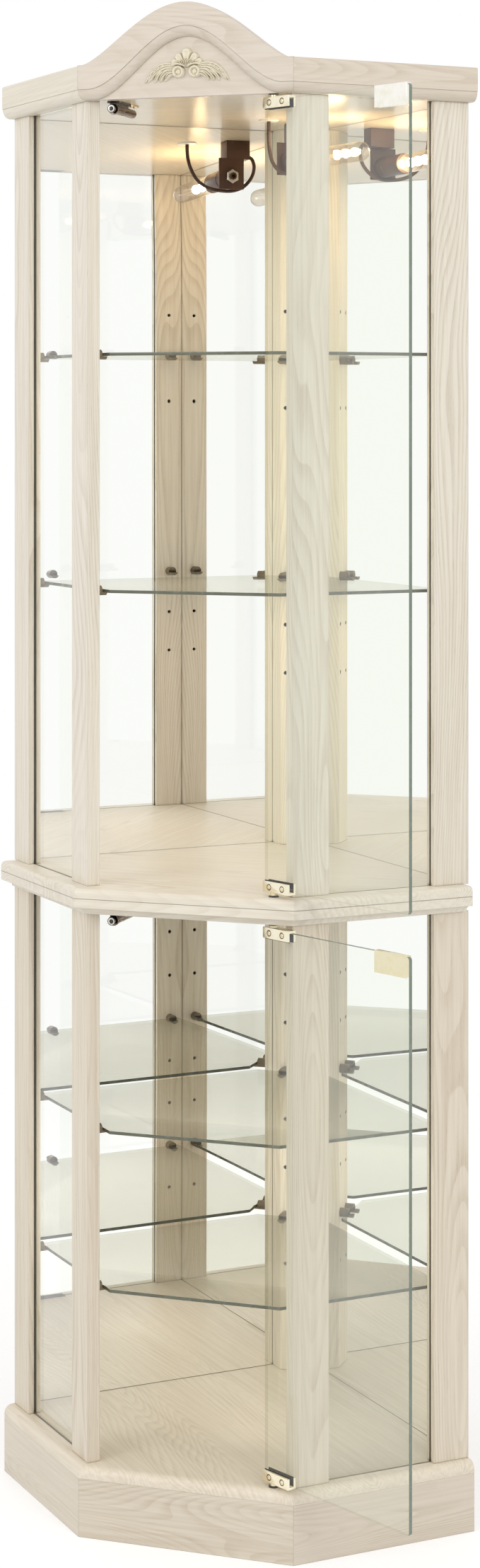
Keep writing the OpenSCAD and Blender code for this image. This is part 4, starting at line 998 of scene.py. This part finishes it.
carving = bmesh.new()
kept = relief > 0.9 * BARE
inside = kept[:-1, :-1] & kept[1:, :-1] & kept[:-1, 1:] & kept[1:, 1:]
front_verts, back_verts = {}, {}
FIELD_Y = FRONT_Y - CROWN_OUT + TYMPANUM_DEPTH
ORNAMENT_Z = CROWN_Z + ORNAMENT_RISE
SUNK_BACK = 1.2 * MM


def carving_corner(r, c):
    if (r, c) not in front_verts:
        x, z = grid_x[r, c] * MM, ORNAMENT_Z + grid_z[r, c] * MM
        front_verts[r, c] = carving.verts.new((x, FIELD_Y - relief[r, c] * MM, z))
        back_verts[r, c] = carving.verts.new((x, FIELD_Y + SUNK_BACK, z))
    return front_verts[r, c], back_verts[r, c]


for r, c in zip(*np.nonzero(inside)):
    square = [carving_corner(*at) for at in ((r, c), (r, c + 1), (r + 1, c + 1), (r + 1, c))]
    carving.faces.new([front for front, back in square])
    carving.faces.new([back for front, back in square][::-1])
rims = [e for e in carving.edges if len(e.link_faces) == 1]
pairs = {front_verts[key]: back_verts[key] for key in front_verts}
for edge in rims:
    a, b = edge.verts
    if a in pairs and b in pairs:
        carving.faces.new((a, b, pairs[b], pairs[a]))
piece("shell_applique", "cabinet", [(outward(carving), None, plaster)], Matrix(),
      ("ornament",), smooth=180)

# ---- Camera, light and floor ----

camera = add_object("camera", bpy.data.cameras.new("camera"))
camera.location = (1.1874, -3.4125, 1.3361)
camera.rotation_euler = (math.radians(90), 0, math.radians(19.13))
camera.data.lens = 66.81
camera.data.sensor_width = 36
camera.data.sensor_fit = "AUTO"
camera.data.shift_y = -0.2326
scene.camera = camera

world = bpy.data.worlds.new("world")
scene.world = world
world.use_nodes = True
tree = world.node_tree
tree.nodes.clear()
seen = seen_directly(tree)
soft = node(tree, "Background", Color=rgba(1.0, 0.985, 0.96), Strength=0.84)
white = node(tree, "Background", Color=WHITE, Strength=1.0)
node(tree, "OutputWorld", Surface=mix_shaders(tree, seen, soft.outputs[0], white.outputs[0]))


def place_light(name, data, power, colour, at):
    data.energy = power
    data.color = colour
    light = add_object(name, data)
    light.location = at
    light.visible_camera = False
    return light


def area_light(name, at, target, size, power, colour, mirrored=False):
    data = bpy.data.lights.new(name, "AREA")
    data.shape = "DISK"
    data.size = size
    light = place_light(name, data, power, colour, at)
    light.rotation_euler = (Vector(target) - Vector(at)).to_track_quat("-Z", "Y").to_euler()
    light.visible_glossy = mirrored


area_light("key", (-1.7, -3.0, 2.6), (0, 0, 1.0), 1.8, 26.0, (1.0, 0.985, 0.96), True)
area_light("fill", (2.6, -2.2, 2.2), (0, 0, 1.0), 1.6, 20.0, (1.0, 0.97, 0.93), True)
# Bounced light inside each carcass: down to its floor, and to its back post
for name, z, power in (("lower_inner", 0.46, 0.19), ("upper_inner", 1.10, 0.27)):
    area_light(name, (0, 0.02, z), (0, 0.02, 0), 0.34, power, (1.0, 0.80, 0.62))
for name, z, power, colour in (("lower_wash", 0.40, 0.60, (1.0, 0.98, 0.93)),
                               ("upper_wash", 1.30, 0.38, (1.0, 0.82, 0.50))):
    area_light(name, (0, -0.08, z), (0, 0.25, z), 0.40, power, colour)
# The lit bulb, as small lights along its axis
for i in range(3):
    data = bpy.data.lights.new("bulb_light", "POINT")
    data.shadow_soft_size = 0.006
    at = LAMP_PLACE @ Vector((sock1 + 0.016 + 0.021 * i, 0, 0))
    place_light("bulb_light_%d" % i, data, 0.18, (1.0, 0.76, 0.47), at)

# The mirrors show neither the doors, nor the front posts beside them, nor the upper shelves
for level in ("upper", "lower"):
    for name in ("post_front_right", "hinge_pads"):
        nodes[level + "_" + name].visible_glossy = False
    for name in ("door_pane", "strike", "clamps"):
        bpy.data.objects[level + "_" + name].visible_glossy = False
for name in ("upper_shelf_bottom_pane", "upper_shelf_top_pane"):
    bpy.data.objects[name].visible_glossy = False

FLOOR_HALF = 12.0
corners = [(x * FLOOR_HALF, y * FLOOR_HALF, 0) for x, y in ((-1, -1), (1, -1), (1, 1), (-1, 1))]
floor_mesh = bpy.data.meshes.new("floor")
floor_mesh.from_pydata(corners, [], [(0, 1, 2, 3)])
floor = add_object("floor", floor_mesh)
# Pale paper, a little lifted where it is seen, which fades to white away from the object
material, tree = new_material("floor_paper")
point = object_point(tree)
reach = vector(tree, "LENGTH", point)
grit = noise(tree, point, 90.0, 3.0)
paper = blend_colours(tree, grit, rgba(0.80, 0.81, 0.83), rgba(0.84, 0.85, 0.87))
diffuse = node(tree, "BsdfDiffuse", Color=paper)
seen = seen_directly(tree)
lift = node(tree, "Emission", Color=WHITE, Strength=times(tree, seen, 0.28))
near_floor = node(tree, "AddShader", _0=diffuse.outputs[0], _1=lift.outputs[0])
far_floor = node(tree, "Emission", Color=WHITE, Strength=1.0)
fade = times(tree, ramp(tree, reach, 0.7, 2.2), seen)
whole_floor = mix_shaders(tree, fade, near_floor.outputs[0], far_floor.outputs[0])
floor_mesh.materials.append(finished(material, whole_floor))

scene.view_settings.view_transform = "Standard"
